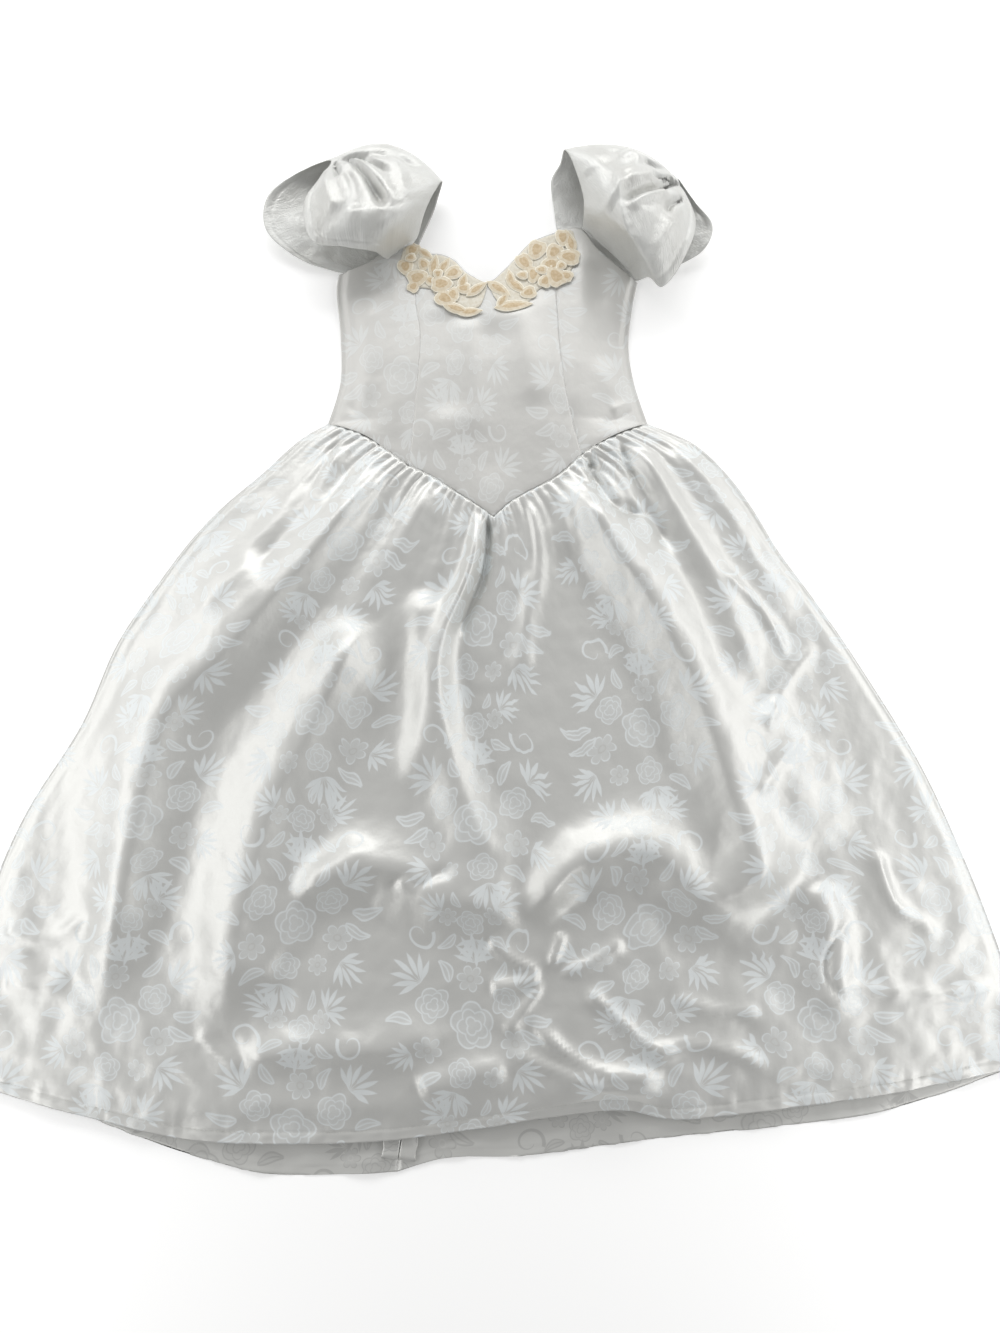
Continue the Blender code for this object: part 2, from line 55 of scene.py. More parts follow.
outline = {
    "sideLeft": (
        (-0.209, 0.219), (-0.211, 0.190), (-0.204, 0.130), (-0.202, 0.060), (-0.217, 0.000),
        (-0.255, -0.024), (-0.304, -0.072), (-0.349, -0.113), (-0.386, -0.154), (-0.422, -0.205),
        (-0.480, -0.300), (-0.520, -0.408), (-0.579, -0.514), (-0.614, -0.608), (-0.640, -0.730),
        (-0.648, -0.822),
    ),
    "sideRight": (
        (0.205, 0.207), (0.197, 0.170), (0.190, 0.115), (0.196, 0.060), (0.213, 0.000), (0.275, -0.029),
        (0.320, -0.075), (0.352, -0.124), (0.381, -0.178), (0.426, -0.246), (0.472, -0.320),
        (0.544, -0.451), (0.592, -0.571), (0.626, -0.678), (0.645, -0.760), (0.651, -0.820),
    ),
    "sideBreak": 4,  # which point of the side lines lies on the waist
    "waist": (
        (-0.217, 0.000), (-0.186, -0.013), (-0.159, -0.027), (-0.132, -0.048), (-0.105, -0.068),
        (-0.071, -0.086), (-0.045, -0.104), (-0.018, -0.122), (0.006, -0.140), (0.033, -0.116),
        (0.068, -0.096), (0.096, -0.078), (0.122, -0.052), (0.148, -0.034), (0.178, -0.017), (0.213, 0.000),
    ),
    "princessLeft": ((-0.104, 0.257), (-0.100, 0.168), (-0.093, 0.114), (-0.098, 0.024), (-0.105, -0.068)),
    "princessRight": ((0.088, 0.275), (0.092, 0.158), (0.096, 0.091), (0.105, 0.020), (0.122, -0.052)),
    "waistCuts": (4, 8, 12),  # which points of the waist meet the left seam, the tip and the right seam
    "neckline": (
        (-0.104, 0.257), (-0.087, 0.243), (-0.065, 0.240), (-0.047, 0.230), (-0.030, 0.211),
        (-0.003, 0.196), (0.019, 0.214), (0.037, 0.236), (0.057, 0.259), (0.088, 0.275),
    ),
    "armholeLeft": ((-0.209, 0.219), (-0.172, 0.231), (-0.136, 0.250), (-0.104, 0.257)),
    "armholeRight": ((0.088, 0.275), (0.110, 0.283), (0.130, 0.281), (0.152, 0.250), (0.205, 0.207)),
    "backTopLeft": ((-0.209, 0.219), (-0.150, 0.212), (-0.100, 0.202), (-0.050, 0.168), (0.000, 0.155)),
    "backTopRight": ((0.000, 0.155), (0.050, 0.166), (0.100, 0.196), (0.150, 0.202), (0.205, 0.207)),
    "frontHem": (
        (-0.648, -0.822), (-0.584, -0.850), (-0.462, -0.881), (-0.342, -0.904), (-0.163, -0.906),
        (-0.045, -0.895), (0.074, -0.877), (0.160, -0.869), (0.223, -0.880), (0.343, -0.869),
        (0.493, -0.850), (0.580, -0.833), (0.651, -0.820),
    ),
    "backHemLeft": (
        (-0.646, -0.812), (-0.540, -0.850), (-0.421, -0.896), (-0.342, -0.922), (-0.246, -0.943),
        (-0.108, -0.940),
    ),
    "backHemRight": (
        (-0.108, -0.940), (-0.045, -0.924), (0.044, -0.922), (0.194, -0.902), (0.373, -0.882),
        (0.495, -0.861), (0.649, -0.810),
    ),
    "centreBack": ((0.000, 0.000), (-0.040, -0.400), (-0.108, -0.940)),
}


def ease(value):
    value = np.clip(value, 0.0, 1.0)
    return value * value * (3.0 - 2.0 * value)


def runAlong(points):
    # how far along a line of points each of them is
    return np.concatenate([[0.0], np.cumsum(np.linalg.norm(np.diff(points, axis=0), axis=1))])


def curveAt(knots, place):
    # a Catmull-Rom curve through the knots, read at these places from knot to knot
    last = len(knots) - 1
    index = np.minimum(place.astype(int), last - 1)
    t = (place - index)[:, None]
    before, start = knots[np.maximum(index - 1, 0)], knots[index]
    end, after = knots[index + 1], knots[np.minimum(index + 2, last)]
    return 0.5 * (
        2 * start + (end - before) * t + (2 * before - 5 * start + 4 * end - after) * t**2
        + (3 * start - before - 3 * end + after) * t**3
    )


def smoothCurve(points, shares):
    # points of a smooth curve: at even distances when shares is a count, else at these shares of its length
    if isinstance(shares, int):
        shares = np.linspace(0.0, 1.0, shares + 1)
    knots = np.array(points, float)
    last = len(knots) - 1
    fine = curveAt(knots, np.linspace(0.0, last, 60 * last + 1))  # 60 steps from knot to knot
    run = runAlong(fine)
    wanted = np.array(shares) * run[-1]
    return np.stack([np.interp(wanted, run, fine[:, axis]) for axis in range(fine.shape[1])], axis=1)


def besidePath(x, y, path):
    # for each point: its distance to the path, which side of it, and how far along the nearest place is
    best = np.full(x.shape, 1e9)
    side = np.zeros(x.shape)
    share = np.zeros(x.shape)
    for index, (start, end) in enumerate(zip(path, path[1:])):
        run = end - start
        reach = np.clip(((x - start[0]) * run[0] + (y - start[1]) * run[1]) / (run @ run), 0.0, 1.0)
        offX, offY = x - start[0] - run[0] * reach, y - start[1] - run[1] * reach
        distance = np.hypot(offX, offY)
        closer = distance < best
        best = np.where(closer, distance, best)
        side = np.where(closer, np.sign(offX * -run[1] + offY * run[0]), side)
        share = np.where(closer, (index + reach) / (len(path) - 1), share)
    return best, side, share


foldShape = {
    "steps": 5,  # straight stretches for each point of a fold's path
    "reach": 4.0,  # half widths past which a fold isn't felt
    "start": 0.14,  # the shares of its path over which a fold rises and dies away
    "end": 0.20,
    "crestRound": 0.004,
    "dropWidth": 1.1,  # half widths that the falling side of a crest takes, its curve, and its rising side
    "dropCurve": 1.6,
    "riseWidth": 0.9,
    "creaseCurve": 1.3,
}


def foldLift(x, y, folds):
    # A ridge or trough is a soft hump along its path and a crease a sharper one.
    # A fall is a crest that rises gently on one side and drops away on the other, left or right of its path.
    total = np.zeros(x.shape)
    for kind, width, height, path in folds:
        curve = smoothCurve(path, foldShape["steps"] * len(path))
        widths = np.atleast_1d(width)
        reachable = foldShape["reach"] * widths.max()
        near = (
            (x > curve[:, 0].min() - reachable) & (x < curve[:, 0].max() + reachable)
            & (y > curve[:, 1].min() - reachable) & (y < curve[:, 1].max() + reachable)
        )
        distance, side, share = besidePath(x[near], y[near], curve)
        span = np.interp(share, np.linspace(0, 1, len(widths)), widths)
        fade = ease(share / foldShape["start"]) * ease((1.0 - share) / foldShape["end"])
        reach = distance / span
        if kind in ("fallLeft", "fallRight"):
            past = side * distance * (1.0 if kind == "fallLeft" else -1.0)
            rounded = 0.5 * (past + np.sqrt(past**2 + foldShape["crestRound"] ** 2))
            left = np.clip(1.0 - rounded / (foldShape["dropWidth"] * span), 0.0, 1.0)
            drop = left ** foldShape["dropCurve"]
            lift = drop * np.exp(-((np.minimum(past, 0.0) / (foldShape["riseWidth"] * span)) ** 2))
        elif kind == "crease":
            lift = np.exp(-(reach ** foldShape["creaseCurve"]))
        else:
            lift = np.exp(-(reach**2))
        total[near] += height * fade * lift
    return total


def atHeight(line, y):
    points = np.array(line)[::-1]
    return np.interp(y, points[:, 1], points[:, 0])


def acrossAt(line, x):
    points = np.array(line)
    return np.interp(x, points[:, 0], points[:, 1])


def patchOf(top, foot, left, right, down):
    # plan points between four edges: top and foot run to +x, left and right run down, at the shares in down
    down = np.array(down)[:, None, None]
    along = np.linspace(0, 1, len(top))[None, :, None]
    flat = (
        top[0] * (1 - along) * (1 - down) + top[-1] * along * (1 - down)
        + foot[0] * (1 - along) * down + foot[-1] * along * down
    )
    upright = top[None] * (1 - down) + foot[None] * down
    return upright + left[:, None] * (1 - along) + right[:, None] * along - flat


def cloudAt(x, y, scale, seed, octaves=3):
    places = zip((x.ravel() * scale).tolist(), (y.ravel() * scale).tolist())
    found = [noise.fractal(Vector((a, b, seed)), 1.0, 2.1, octaves) for a, b in places]
    return np.array(found).reshape(x.shape)


def unevenAt(place, seed):
    found = [noise.noise(Vector((a, seed, 0.37))) for a in place.ravel().tolist()]
    return np.array(found).reshape(place.shape)


# How the front layer puffs up, and its folds: (kind, half width, height, path).
frontLayer = {
    "rise": (
        (0.290, 0.012), (0.200, 0.020), (0.080, 0.026), (-0.060, 0.026), (-0.200, 0.026), (-0.450, 0.024),
        (-0.700, 0.021), (-0.900, 0.016),
    ),
    "settle": 0.005,  # how softly the lowest places come to rest
    "skirtDome": 2.4,  # the higher, the flatter the middle and the steeper the sides
    "bodiceDome": 3.0,
    "hemEase": 0.050,
    "hemLow": 0.30,  # the share of its height that the skirt keeps at the hem
    "sideEase": 0.045,
    "edgeEase": 0.25,
    "waistEase": 0.02,
    "bodiceAtWaist": 0.3,
    "foldScale": 1.45,
    "skirtFolds": (
        # left half
        ("fallLeft", (0.024, 0.045, 0.058, 0.060, 0.052, 0.040), 0.024, (
            (-0.136, -0.040), (-0.161, -0.105), (-0.214, -0.184), (-0.272, -0.253), (-0.330, -0.322),
            (-0.388, -0.380), (-0.412, -0.450), (-0.428, -0.540), (-0.438, -0.614), (-0.451, -0.694),
            (-0.476, -0.790))),
        ("fallLeft", (0.012, 0.040, 0.060), 0.012, (
            (-0.186, -0.018), (-0.217, -0.091), (-0.270, -0.160), (-0.327, -0.226), (-0.400, -0.300))),
        ("trough", (0.006, 0.014, 0.018), -0.006, (
            (-0.195, -0.012), (-0.230, -0.098), (-0.269, -0.162), (-0.314, -0.219))),
        ("fallLeft", (0.016, 0.035, 0.060, 0.070), 0.008, (
            (-0.062, -0.090), (-0.112, -0.176), (-0.145, -0.226), (-0.164, -0.274), (-0.172, -0.330),
            (-0.178, -0.400))),
        ("fallLeft", (0.045, 0.062, 0.068, 0.060, 0.045), 0.021, (
            (-0.150, -0.270), (-0.195, -0.369), (-0.225, -0.430), (-0.262, -0.510), (-0.288, -0.614),
            (-0.305, -0.706), (-0.312, -0.790))),
        ("fallLeft", (0.030, 0.040), 0.007, (
            (-0.130, -0.560), (-0.214, -0.607), (-0.250, -0.676), (-0.298, -0.750))),
        ("ridge", (0.020, 0.026, 0.022), 0.008, (
            (-0.082, -0.230), (-0.086, -0.320), (-0.082, -0.410), (-0.104, -0.500))),
        ("fallLeft", (0.014, 0.016, 0.024, 0.036, 0.050, 0.055), 0.015, (
            (-0.008, -0.120), (-0.016, -0.191), (-0.030, -0.239), (-0.057, -0.308), (-0.060, -0.369),
            (-0.045, -0.448), (-0.026, -0.510), (0.004, -0.565), (0.050, -0.630))),
        ("trough", (0.006, 0.008, 0.010), -0.010, (
            (0.001, -0.128), (-0.007, -0.212), (-0.027, -0.260), (-0.050, -0.310))),
        ("ridge", 0.050, 0.005, ((-0.290, -0.190), (-0.400, -0.320), (-0.470, -0.450), (-0.500, -0.600))),
        # right half
        ("fallRight", (0.010, 0.018, 0.022), 0.006, (
            (0.050, -0.110), (0.063, -0.191), (0.048, -0.270), (0.030, -0.370))),
        ("fallRight", (0.034, 0.052, 0.060, 0.062, 0.055), 0.025, (
            (0.098, -0.078), (0.152, -0.176), (0.191, -0.232), (0.229, -0.301), (0.254, -0.355),
            (0.276, -0.422), (0.296, -0.493), (0.316, -0.560), (0.345, -0.640))),
        ("trough", 0.030, -0.004, ((0.090, -0.150), (0.150, -0.290), (0.205, -0.400), (0.240, -0.520))),
        ("trough", (0.007, 0.010, 0.006), -0.008, (
            (0.128, -0.048), (0.143, -0.091), (0.158, -0.121), (0.187, -0.130), (0.215, -0.134))),
        ("fallRight", (0.012, 0.030, 0.042), 0.011, (
            (0.183, -0.022), (0.225, -0.098), (0.261, -0.169), (0.292, -0.226), (0.310, -0.281),
            (0.345, -0.370))),
        ("trough", (0.006, 0.010), -0.005, ((0.170, -0.026), (0.202, -0.110), (0.239, -0.191))),
        ("fallRight", (0.020, 0.040), 0.005, (
            (0.232, -0.030), (0.300, -0.105), (0.345, -0.190), (0.390, -0.290))),
        ("crease", 0.008, 0.004, ((0.300, -0.210), (0.350, -0.260), (0.385, -0.330))),
        ("crease", 0.008, 0.004, ((0.345, -0.420), (0.375, -0.360), (0.425, -0.300))),
        ("crease", 0.010, 0.004, ((0.330, -0.500), (0.365, -0.450), (0.400, -0.420))),
        ("ridge", 0.040, 0.006, ((0.330, -0.380), (0.380, -0.470), (0.420, -0.570))),
        # across the lower half
        ("fallRight", (0.024, 0.040, 0.055, 0.055, 0.045), 0.021, (
            (0.040, -0.655), (0.075, -0.618), (0.106, -0.585), (0.144, -0.572), (0.183, -0.566),
            (0.215, -0.578), (0.240, -0.607), (0.265, -0.623), (0.297, -0.614), (0.340, -0.590),
            (0.400, -0.580))),
        ("trough", 0.030, -0.005, ((0.190, -0.630), (0.260, -0.680), (0.340, -0.715), (0.400, -0.735))),
        ("ridge", 0.022, 0.009, ((0.395, -0.600), (0.418, -0.660), (0.420, -0.720), (0.400, -0.770))),
        ("fallRight", (0.024, 0.045, 0.055, 0.040), 0.016, (
            (-0.240, -0.625), (-0.188, -0.601), (-0.137, -0.587), (-0.105, -0.600), (-0.073, -0.618),
            (-0.034, -0.626), (0.010, -0.640), (0.050, -0.670))),
        ("crease", 0.007, -0.005, (
            (-0.125, -0.610), (-0.100, -0.594), (-0.084, -0.606), (-0.060, -0.592), (-0.035, -0.590))),
        ("fallRight", (0.025, 0.034, 0.030), 0.011, (
            (-0.300, -0.815), (-0.245, -0.802), (-0.208, -0.797), (-0.158, -0.801), (-0.108, -0.795),
            (-0.040, -0.780))),
        ("ridge", 0.018, 0.007, ((-0.085, -0.846), (-0.055, -0.834), (-0.021, -0.826), (0.030, -0.820))),
        ("crease", 0.006, -0.005, (
            (0.440, -0.650), (0.415, -0.680), (0.408, -0.710), (0.418, -0.732), (0.440, -0.732))),
        ("crease", (0.010, 0.004), 0.006, ((0.000, -0.670), (0.030, -0.695), (0.066, -0.709))),
        ("crease", (0.010, 0.004), 0.006, ((0.002, -0.728), (0.035, -0.722), (0.066, -0.713))),
        ("crease", (0.010, 0.004), 0.006, ((0.090, -0.662), (0.082, -0.685), (0.074, -0.704))),
        ("crease", (0.010, 0.004), 0.006, ((0.165, -0.672), (0.125, -0.698), (0.082, -0.711))),
        ("crease", (0.010, 0.004), 0.005, ((0.020, -0.780), (0.045, -0.748), (0.068, -0.720))),
        ("crease", 0.008, 0.007, ((0.115, -0.728), (0.160, -0.767), (0.190, -0.793), (0.228, -0.800))),
        ("crease", 0.008, 0.007, ((0.050, -0.768), (0.103, -0.808), (0.152, -0.826), (0.215, -0.826))),
        ("crease", 0.009, 0.006, ((0.020, -0.800), (0.084, -0.822), (0.139, -0.842), (0.205, -0.852))),
        ("crease", 0.007, 0.006, ((0.190, -0.806), (0.240, -0.792), (0.290, -0.802), (0.335, -0.818))),
        ("crease", 0.008, 0.005, ((0.215, -0.735), (0.267, -0.752), (0.330, -0.757))),
        ("crease", 0.007, 0.005, ((0.430, -0.728), (0.506, -0.734), (0.556, -0.738), (0.625, -0.722))),
        ("crease", 0.009, 0.006, ((0.478, -0.560), (0.495, -0.626), (0.537, -0.657), (0.560, -0.672))),
        ("crease", 0.010, 0.005, ((-0.600, -0.655), (-0.555, -0.672), (-0.515, -0.662), (-0.485, -0.640))),
        ("crease", 0.009, 0.004, ((-0.590, -0.720), (-0.545, -0.728), (-0.505, -0.715))),
        ("crease", 0.008, 0.004, ((-0.345, -0.775), (-0.320, -0.800), (-0.290, -0.822))),
        ("ridge", 0.020, 0.008, (
            (-0.030, -0.885), (0.040, -0.872), (0.110, -0.848), (0.165, -0.846), (0.225, -0.872))),
    ),
    "bodiceFolds": (
        ("trough", (0.020, 0.026), -0.0040, ((-0.062, 0.160), (-0.058, 0.080), (-0.052, -0.010))),
        ("ridge", (0.016, 0.022), 0.0045, ((-0.030, 0.150), (-0.022, 0.060), (-0.020, -0.040))),
        ("fallRight", (0.022, 0.030), 0.0050, ((0.030, 0.165), (0.046, 0.090), (0.060, 0.010))),
        ("trough", 0.020, -0.0040, ((0.152, 0.240), (0.150, 0.150), (0.158, 0.060))),
        ("ridge", 0.018, 0.0035, ((-0.168, 0.170), (-0.166, 0.080), (-0.178, 0.000))),
        ("fallLeft", 0.030, 0.004, ((-0.132, 0.225), (-0.126, 0.150), (-0.122, 0.050), (-0.128, -0.040))),
        ("fallRight", 0.022, 0.004, ((0.126, 0.270), (0.123, 0.179), (0.118, 0.091), (0.108, -0.020))),
        ("trough", 0.028, -0.004, ((0.004, 0.150), (0.000, 0.040), (0.006, -0.110))),
        ("ridge", 0.026, 0.002, ((-0.060, 0.170), (-0.056, 0.050), (-0.060, -0.060))),
        ("ridge", 0.022, 0.002, ((0.062, 0.190), (0.066, 0.060), (0.074, -0.050))),
        ("crease", 0.008, 0.003, ((0.200, 0.040), (0.186, 0.026), (0.160, 0.012))),
        ("crease", 0.006, -0.0025, ((0.207, 0.026), (0.180, 0.008), (0.150, -0.010))),
        ("trough", 0.012, -0.003, ((-0.198, 0.060), (-0.180, 0.030), (-0.190, 0.010))),
        ("ridge", 0.018, 0.002, ((0.150, 0.180), (0.155, 0.090), (0.165, 0.020))),
        ("ridge", 0.020, 0.002, ((-0.165, 0.190), (-0.160, 0.100), (-0.165, 0.020))),
    ),
    "seamDip": 0.0007,
    "seamReach": 0.004,
}


def frontHeight(x, y, skirt=False):
    # height of the front layer's underside above the surface that the dress lies on
    left, right = atHeight(outline["sideLeft"], y), atHeight(outline["sideRight"], y)
    shareAcross = np.clip((x - left) / (right - left), 0.0, 1.0)
    dome = 1.0 - np.abs(2.0 * shareAcross - 1.0) ** frontLayer["skirtDome" if skirt else "bodiceDome"]
    side = ease(np.minimum(x - left, right - x) / frontLayer["sideEase"])
    rises = np.array(frontLayer["rise"])[::-1]
    rise = np.interp(y, rises[:, 0], rises[:, 1])
    fromWaist = np.abs(y - acrossAt(outline["waist"], x))
    byWaist = fromWaist / frontLayer["waistEase"]
    if skirt:
        hemShare = ease((y - acrossAt(outline["frontHem"], x)) / frontLayer["hemEase"])
        folds = frontLayer["foldScale"] * foldLift(x, y, frontLayer["skirtFolds"]) * side * ease(byWaist)
        lift = (rise * dome + folds) * (frontLayer["hemLow"] + (1.0 - frontLayer["hemLow"]) * hemShare)
    else:
        folds = foldLift(x, y, frontLayer["bodiceFolds"]) * side * ease(byWaist + frontLayer["bodiceAtWaist"])
        toSeam = np.minimum(
            np.abs(x - atHeight(outline["princessLeft"], y)),
            np.abs(x - atHeight(outline["princessRight"], y)),
        )
        toSeam = np.minimum(toSeam, fromWaist)
        dip = frontLayer["seamDip"] * np.exp(-((toSeam / frontLayer["seamReach"]) ** 2))
        lift = rise * dome + folds - dip * side
    settled = 0.5 * (lift + np.sqrt(lift**2 + frontLayer["settle"] ** 2))
    return restHeight + settled * ease(side / frontLayer["edgeEase"])


clothFinish = {"wall": 0.0008}


def gridRows(sheet, rows, columns):
    # which row and column of its grid each vertex of a new grid mesh is
    flat = np.empty(len(sheet.vertices) * 3)
    sheet.vertices.foreach_get("co", flat)
    flat = flat.reshape(-1, 3)
    return np.rint((0.5 - flat[:, 1]) * rows).astype(int), np.rint((flat[:, 0] + 0.5) * columns).astype(int)


def cutAlong(places, origin=(0.0, 0.0)):
    # each point's place on the flat cloth, measured along the folded surface from its middle column and foot
    across = np.linalg.norm(np.diff(places, axis=1), axis=2)
    down = np.linalg.norm(np.diff(places, axis=0), axis=2)
    acrossRun = np.concatenate([np.zeros((places.shape[0], 1)), np.cumsum(across, axis=1)], axis=1)
    downRun = np.concatenate([np.zeros((1, places.shape[1])), np.cumsum(down, axis=0)], axis=0)
    middle = places.shape[1] // 2
    acrossRun = acrossRun - acrossRun[:, middle : middle + 1] + places[:, middle : middle + 1, 0]
    downRun = downRun[-1:] - downRun + places[-1:, :, 1]
    return np.stack([acrossRun + origin[0], downRun + origin[1]], axis=2)


def clothSheet(name, places, cut, material, wall=None, turned=False):
    # A grid is laid out, its points are taken to their places, and it gets its thickness.
    # A turned sheet faces down.
    rows, columns = places.shape[0] - 1, places.shape[1] - 1
    bm = bmesh.new()
    bmesh.ops.create_grid(bm, x_segments=columns, y_segments=rows, size=0.5)
    shape = bpy.data.meshes.new(name)
    bm.to_mesh(shape)
    bm.free()
    row, column = gridRows(shape, rows, columns)
    placed = places[row, column] + np.array([planShift[0], planShift[1], 0.0])
    shape.vertices.foreach_set("co", placed.ravel())
    corner = np.empty(len(shape.loops), int)
    shape.loops.foreach_get("vertex_index", corner)
    layer = shape.uv_layers.new(name="cut")
    layer.data.foreach_set("uv", cut[row, column][corner].ravel())
    if turned:
        shape.flip_normals()
    shape.shade_smooth()
    shape.materials.append(material)
    sheet = bpy.data.objects.new(name, shape)
    bpy.context.scene.collection.objects.link(sheet)
    solid = sheet.modifiers.new("wall", "SOLIDIFY")
    solid.thickness = wall or clothFinish["wall"]
    solid.offset = -1.0 if turned else 1.0
    solid.use_even_offset = False
    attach(sheet, "root")
    return sheet


def heightened(plan, height):
    return np.concatenate([plan, height[..., None]], axis=2)


def layCloth(node):
    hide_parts(node)


def nodesOf(name):
    made = bpy.data.materials.new(name)
    made.use_nodes = True
    return made, made.node_tree, made.node_tree.nodes["Principled BSDF"]


def feed(tree, socket, value):
    if isinstance(value, bpy.types.NodeSocket):
        tree.links.new(value, socket)
    elif value is not None:
        socket.default_value = value


def calc(tree, operation, first, second=None, third=None, clamp=False):
    node = tree.nodes.new("ShaderNodeMath")
    node.operation = operation
    node.use_clamp = clamp
    for socket, value in zip(node.inputs, (first, second, third)):
        feed(tree, socket, value)
    return node.outputs[0]


def ramp(tree, value, low, high, toLow=0.0, toHigh=1.0):
    node = tree.nodes.new("ShaderNodeMapRange")
    node.interpolation_type = "SMOOTHSTEP"
    feed(tree, node.inputs["Value"], value)
    for name, number in (("From Min", low), ("From Max", high), ("To Min", toLow), ("To Max", toHigh)):
        feed(tree, node.inputs[name], number)
    return node.outputs["Result"]


def mixColour(tree, share, first, second):
    node = tree.nodes.new("ShaderNodeMix")
    node.data_type = "RGBA"
    feed(tree, node.inputs[0], share)
    for socket, value in ((node.inputs[6], first), (node.inputs[7], second)):
        feed(tree, socket, (*value, 1.0) if isinstance(value, tuple) else value)
    return node.outputs[2]


def newGroup(name, inputs, outputs):
    group = bpy.data.node_groups.new(name, "ShaderNodeTree")
    for label, kind, value in inputs:
        socket = group.interface.new_socket(label, in_out="INPUT", socket_type=kind)
        if value is not None:
            socket.default_value = value
    for label, kind in outputs:
        group.interface.new_socket(label, in_out="OUTPUT", socket_type=kind)
    return group, group.nodes.new("NodeGroupInput").outputs, group.nodes.new("NodeGroupOutput").inputs


def useGroup(tree, group, **values):
    node = tree.nodes.new("ShaderNodeGroup")
    node.node_tree = group
    for name, value in values.items():
        feed(tree, node.inputs[name], value)
    return node.outputs


def polar(tree, vector):
    # a place's distance from the middle of its figure, and its angle
    split = tree.nodes.new("ShaderNodeSeparateXYZ")
    feed(tree, split.inputs[0], vector)
    length = tree.nodes.new("ShaderNodeVectorMath")
    length.operation = "LENGTH"
    feed(tree, length.inputs[0], vector)
    return length.outputs["Value"], calc(tree, "ARCTAN2", split.outputs[1], split.outputs[0])


def drawnOver(tree, body, lines):
    # the body of a figure is woven a third as strongly as its drawn lines
    return calc(tree, "MAXIMUM", calc(tree, "MULTIPLY", body, 0.34), lines)


vectorIn = ("Vector", "NodeSocketVector", None)
floatIn = "NodeSocketFloat"


def makeDaisyFigure():
    # a flower of separate round petals about a small eye, one unit in radius
    tree, given, out = newGroup("daisyFigure", [vectorIn, ("Petals", floatIn, 6.0)], [("Figure", floatIn)])
    radius, angle = polar(tree, given["Vector"])
    turn = calc(tree, "MULTIPLY", angle, calc(tree, "MULTIPLY", given["Petals"], 0.5))
    lobe = calc(tree, "ABSOLUTE", calc(tree, "COSINE", turn))
    edge = calc(tree, "MULTIPLY_ADD", calc(tree, "POWER", lobe, 0.5), 0.62, 0.36)
    petals = ramp(tree, calc(tree, "SUBTRACT", edge, radius), -0.03, 0.03)
    eye = ramp(tree, calc(tree, "ABSOLUTE", calc(tree, "SUBTRACT", radius, 0.24)), 0.03, 0.07)
    border = ramp(tree, calc(tree, "ABSOLUTE", calc(tree, "SUBTRACT", edge, radius)), 0.09, 0.03)
    feed(tree, out["Figure"], drawnOver(tree, calc(tree, "MULTIPLY", petals, eye), border))
    return tree


def makeRoseFigure():
    # an open rose: a softly lobed outline and three rings of petal edges, each turned from the last
    tree, given, out = newGroup("roseFigure", [vectorIn], [("Figure", floatIn)])
    radius, angle = polar(tree, given["Vector"])
    line = None
    for lobes, phase, size, depth in ((5.0, 0.0, 0.76, 0.22), (5.0, 0.9, 0.50, 0.20), (3.0, 2.0, 0.22, 0.16)):
        turn = calc(tree, "MULTIPLY_ADD", angle, 0.5 * lobes, phase)
        lobe = calc(tree, "ABSOLUTE", calc(tree, "COSINE", turn))
        edge = calc(tree, "MULTIPLY_ADD", lobe, depth, size)
        away = calc(tree, "SUBTRACT", edge, radius)
        edgeLine = ramp(tree, calc(tree, "ABSOLUTE", away), 0.07, 0.02)
        if line is None:
            figure = ramp(tree, away, -0.03, 0.03)
            line = edgeLine
        else:
            line = calc(tree, "MAXIMUM", line, edgeLine)
    feed(tree, out["Figure"], drawnOver(tree, figure, line))
    return tree


def makeLeafFigure():
    # a leaf along x from 0 to 1, with its midrib left open
    tree, given, out = newGroup("leafFigure", [vectorIn, ("Width", floatIn, 0.17)], [("Figure", floatIn)])
    split = tree.nodes.new("ShaderNodeSeparateXYZ")
    feed(tree, split.inputs[0], given["Vector"])
    x, y = calc(tree, "ADD", split.outputs[0], 0.0, clamp=True), split.outputs[1]
    bow = calc(tree, "MULTIPLY_ADD", calc(tree, "SINE", calc(tree, "MULTIPLY", x, math.pi)), -0.12, y)
    swell = calc(tree, "SINE", calc(tree, "MULTIPLY", calc(tree, "POWER", x, 0.75), math.pi))
    half = calc(tree, "MULTIPLY", swell, given["Width"])
    away = calc(tree, "ABSOLUTE", bow)
    blade = ramp(tree, calc(tree, "SUBTRACT", half, away), 0.0, 0.05)
    rib = calc(tree, "MULTIPLY", ramp(tree, away, 0.045, 0.015), blade)
    border = ramp(tree, calc(tree, "ABSOLUTE", calc(tree, "SUBTRACT", half, away)), 0.05, 0.02)
    within = ramp(tree, half, 0.0, 0.03)
    lines = calc(tree, "MAXIMUM", rib, calc(tree, "MULTIPLY", border, within))
    feed(tree, out["Figure"], drawnOver(tree, blade, lines))
    return tree


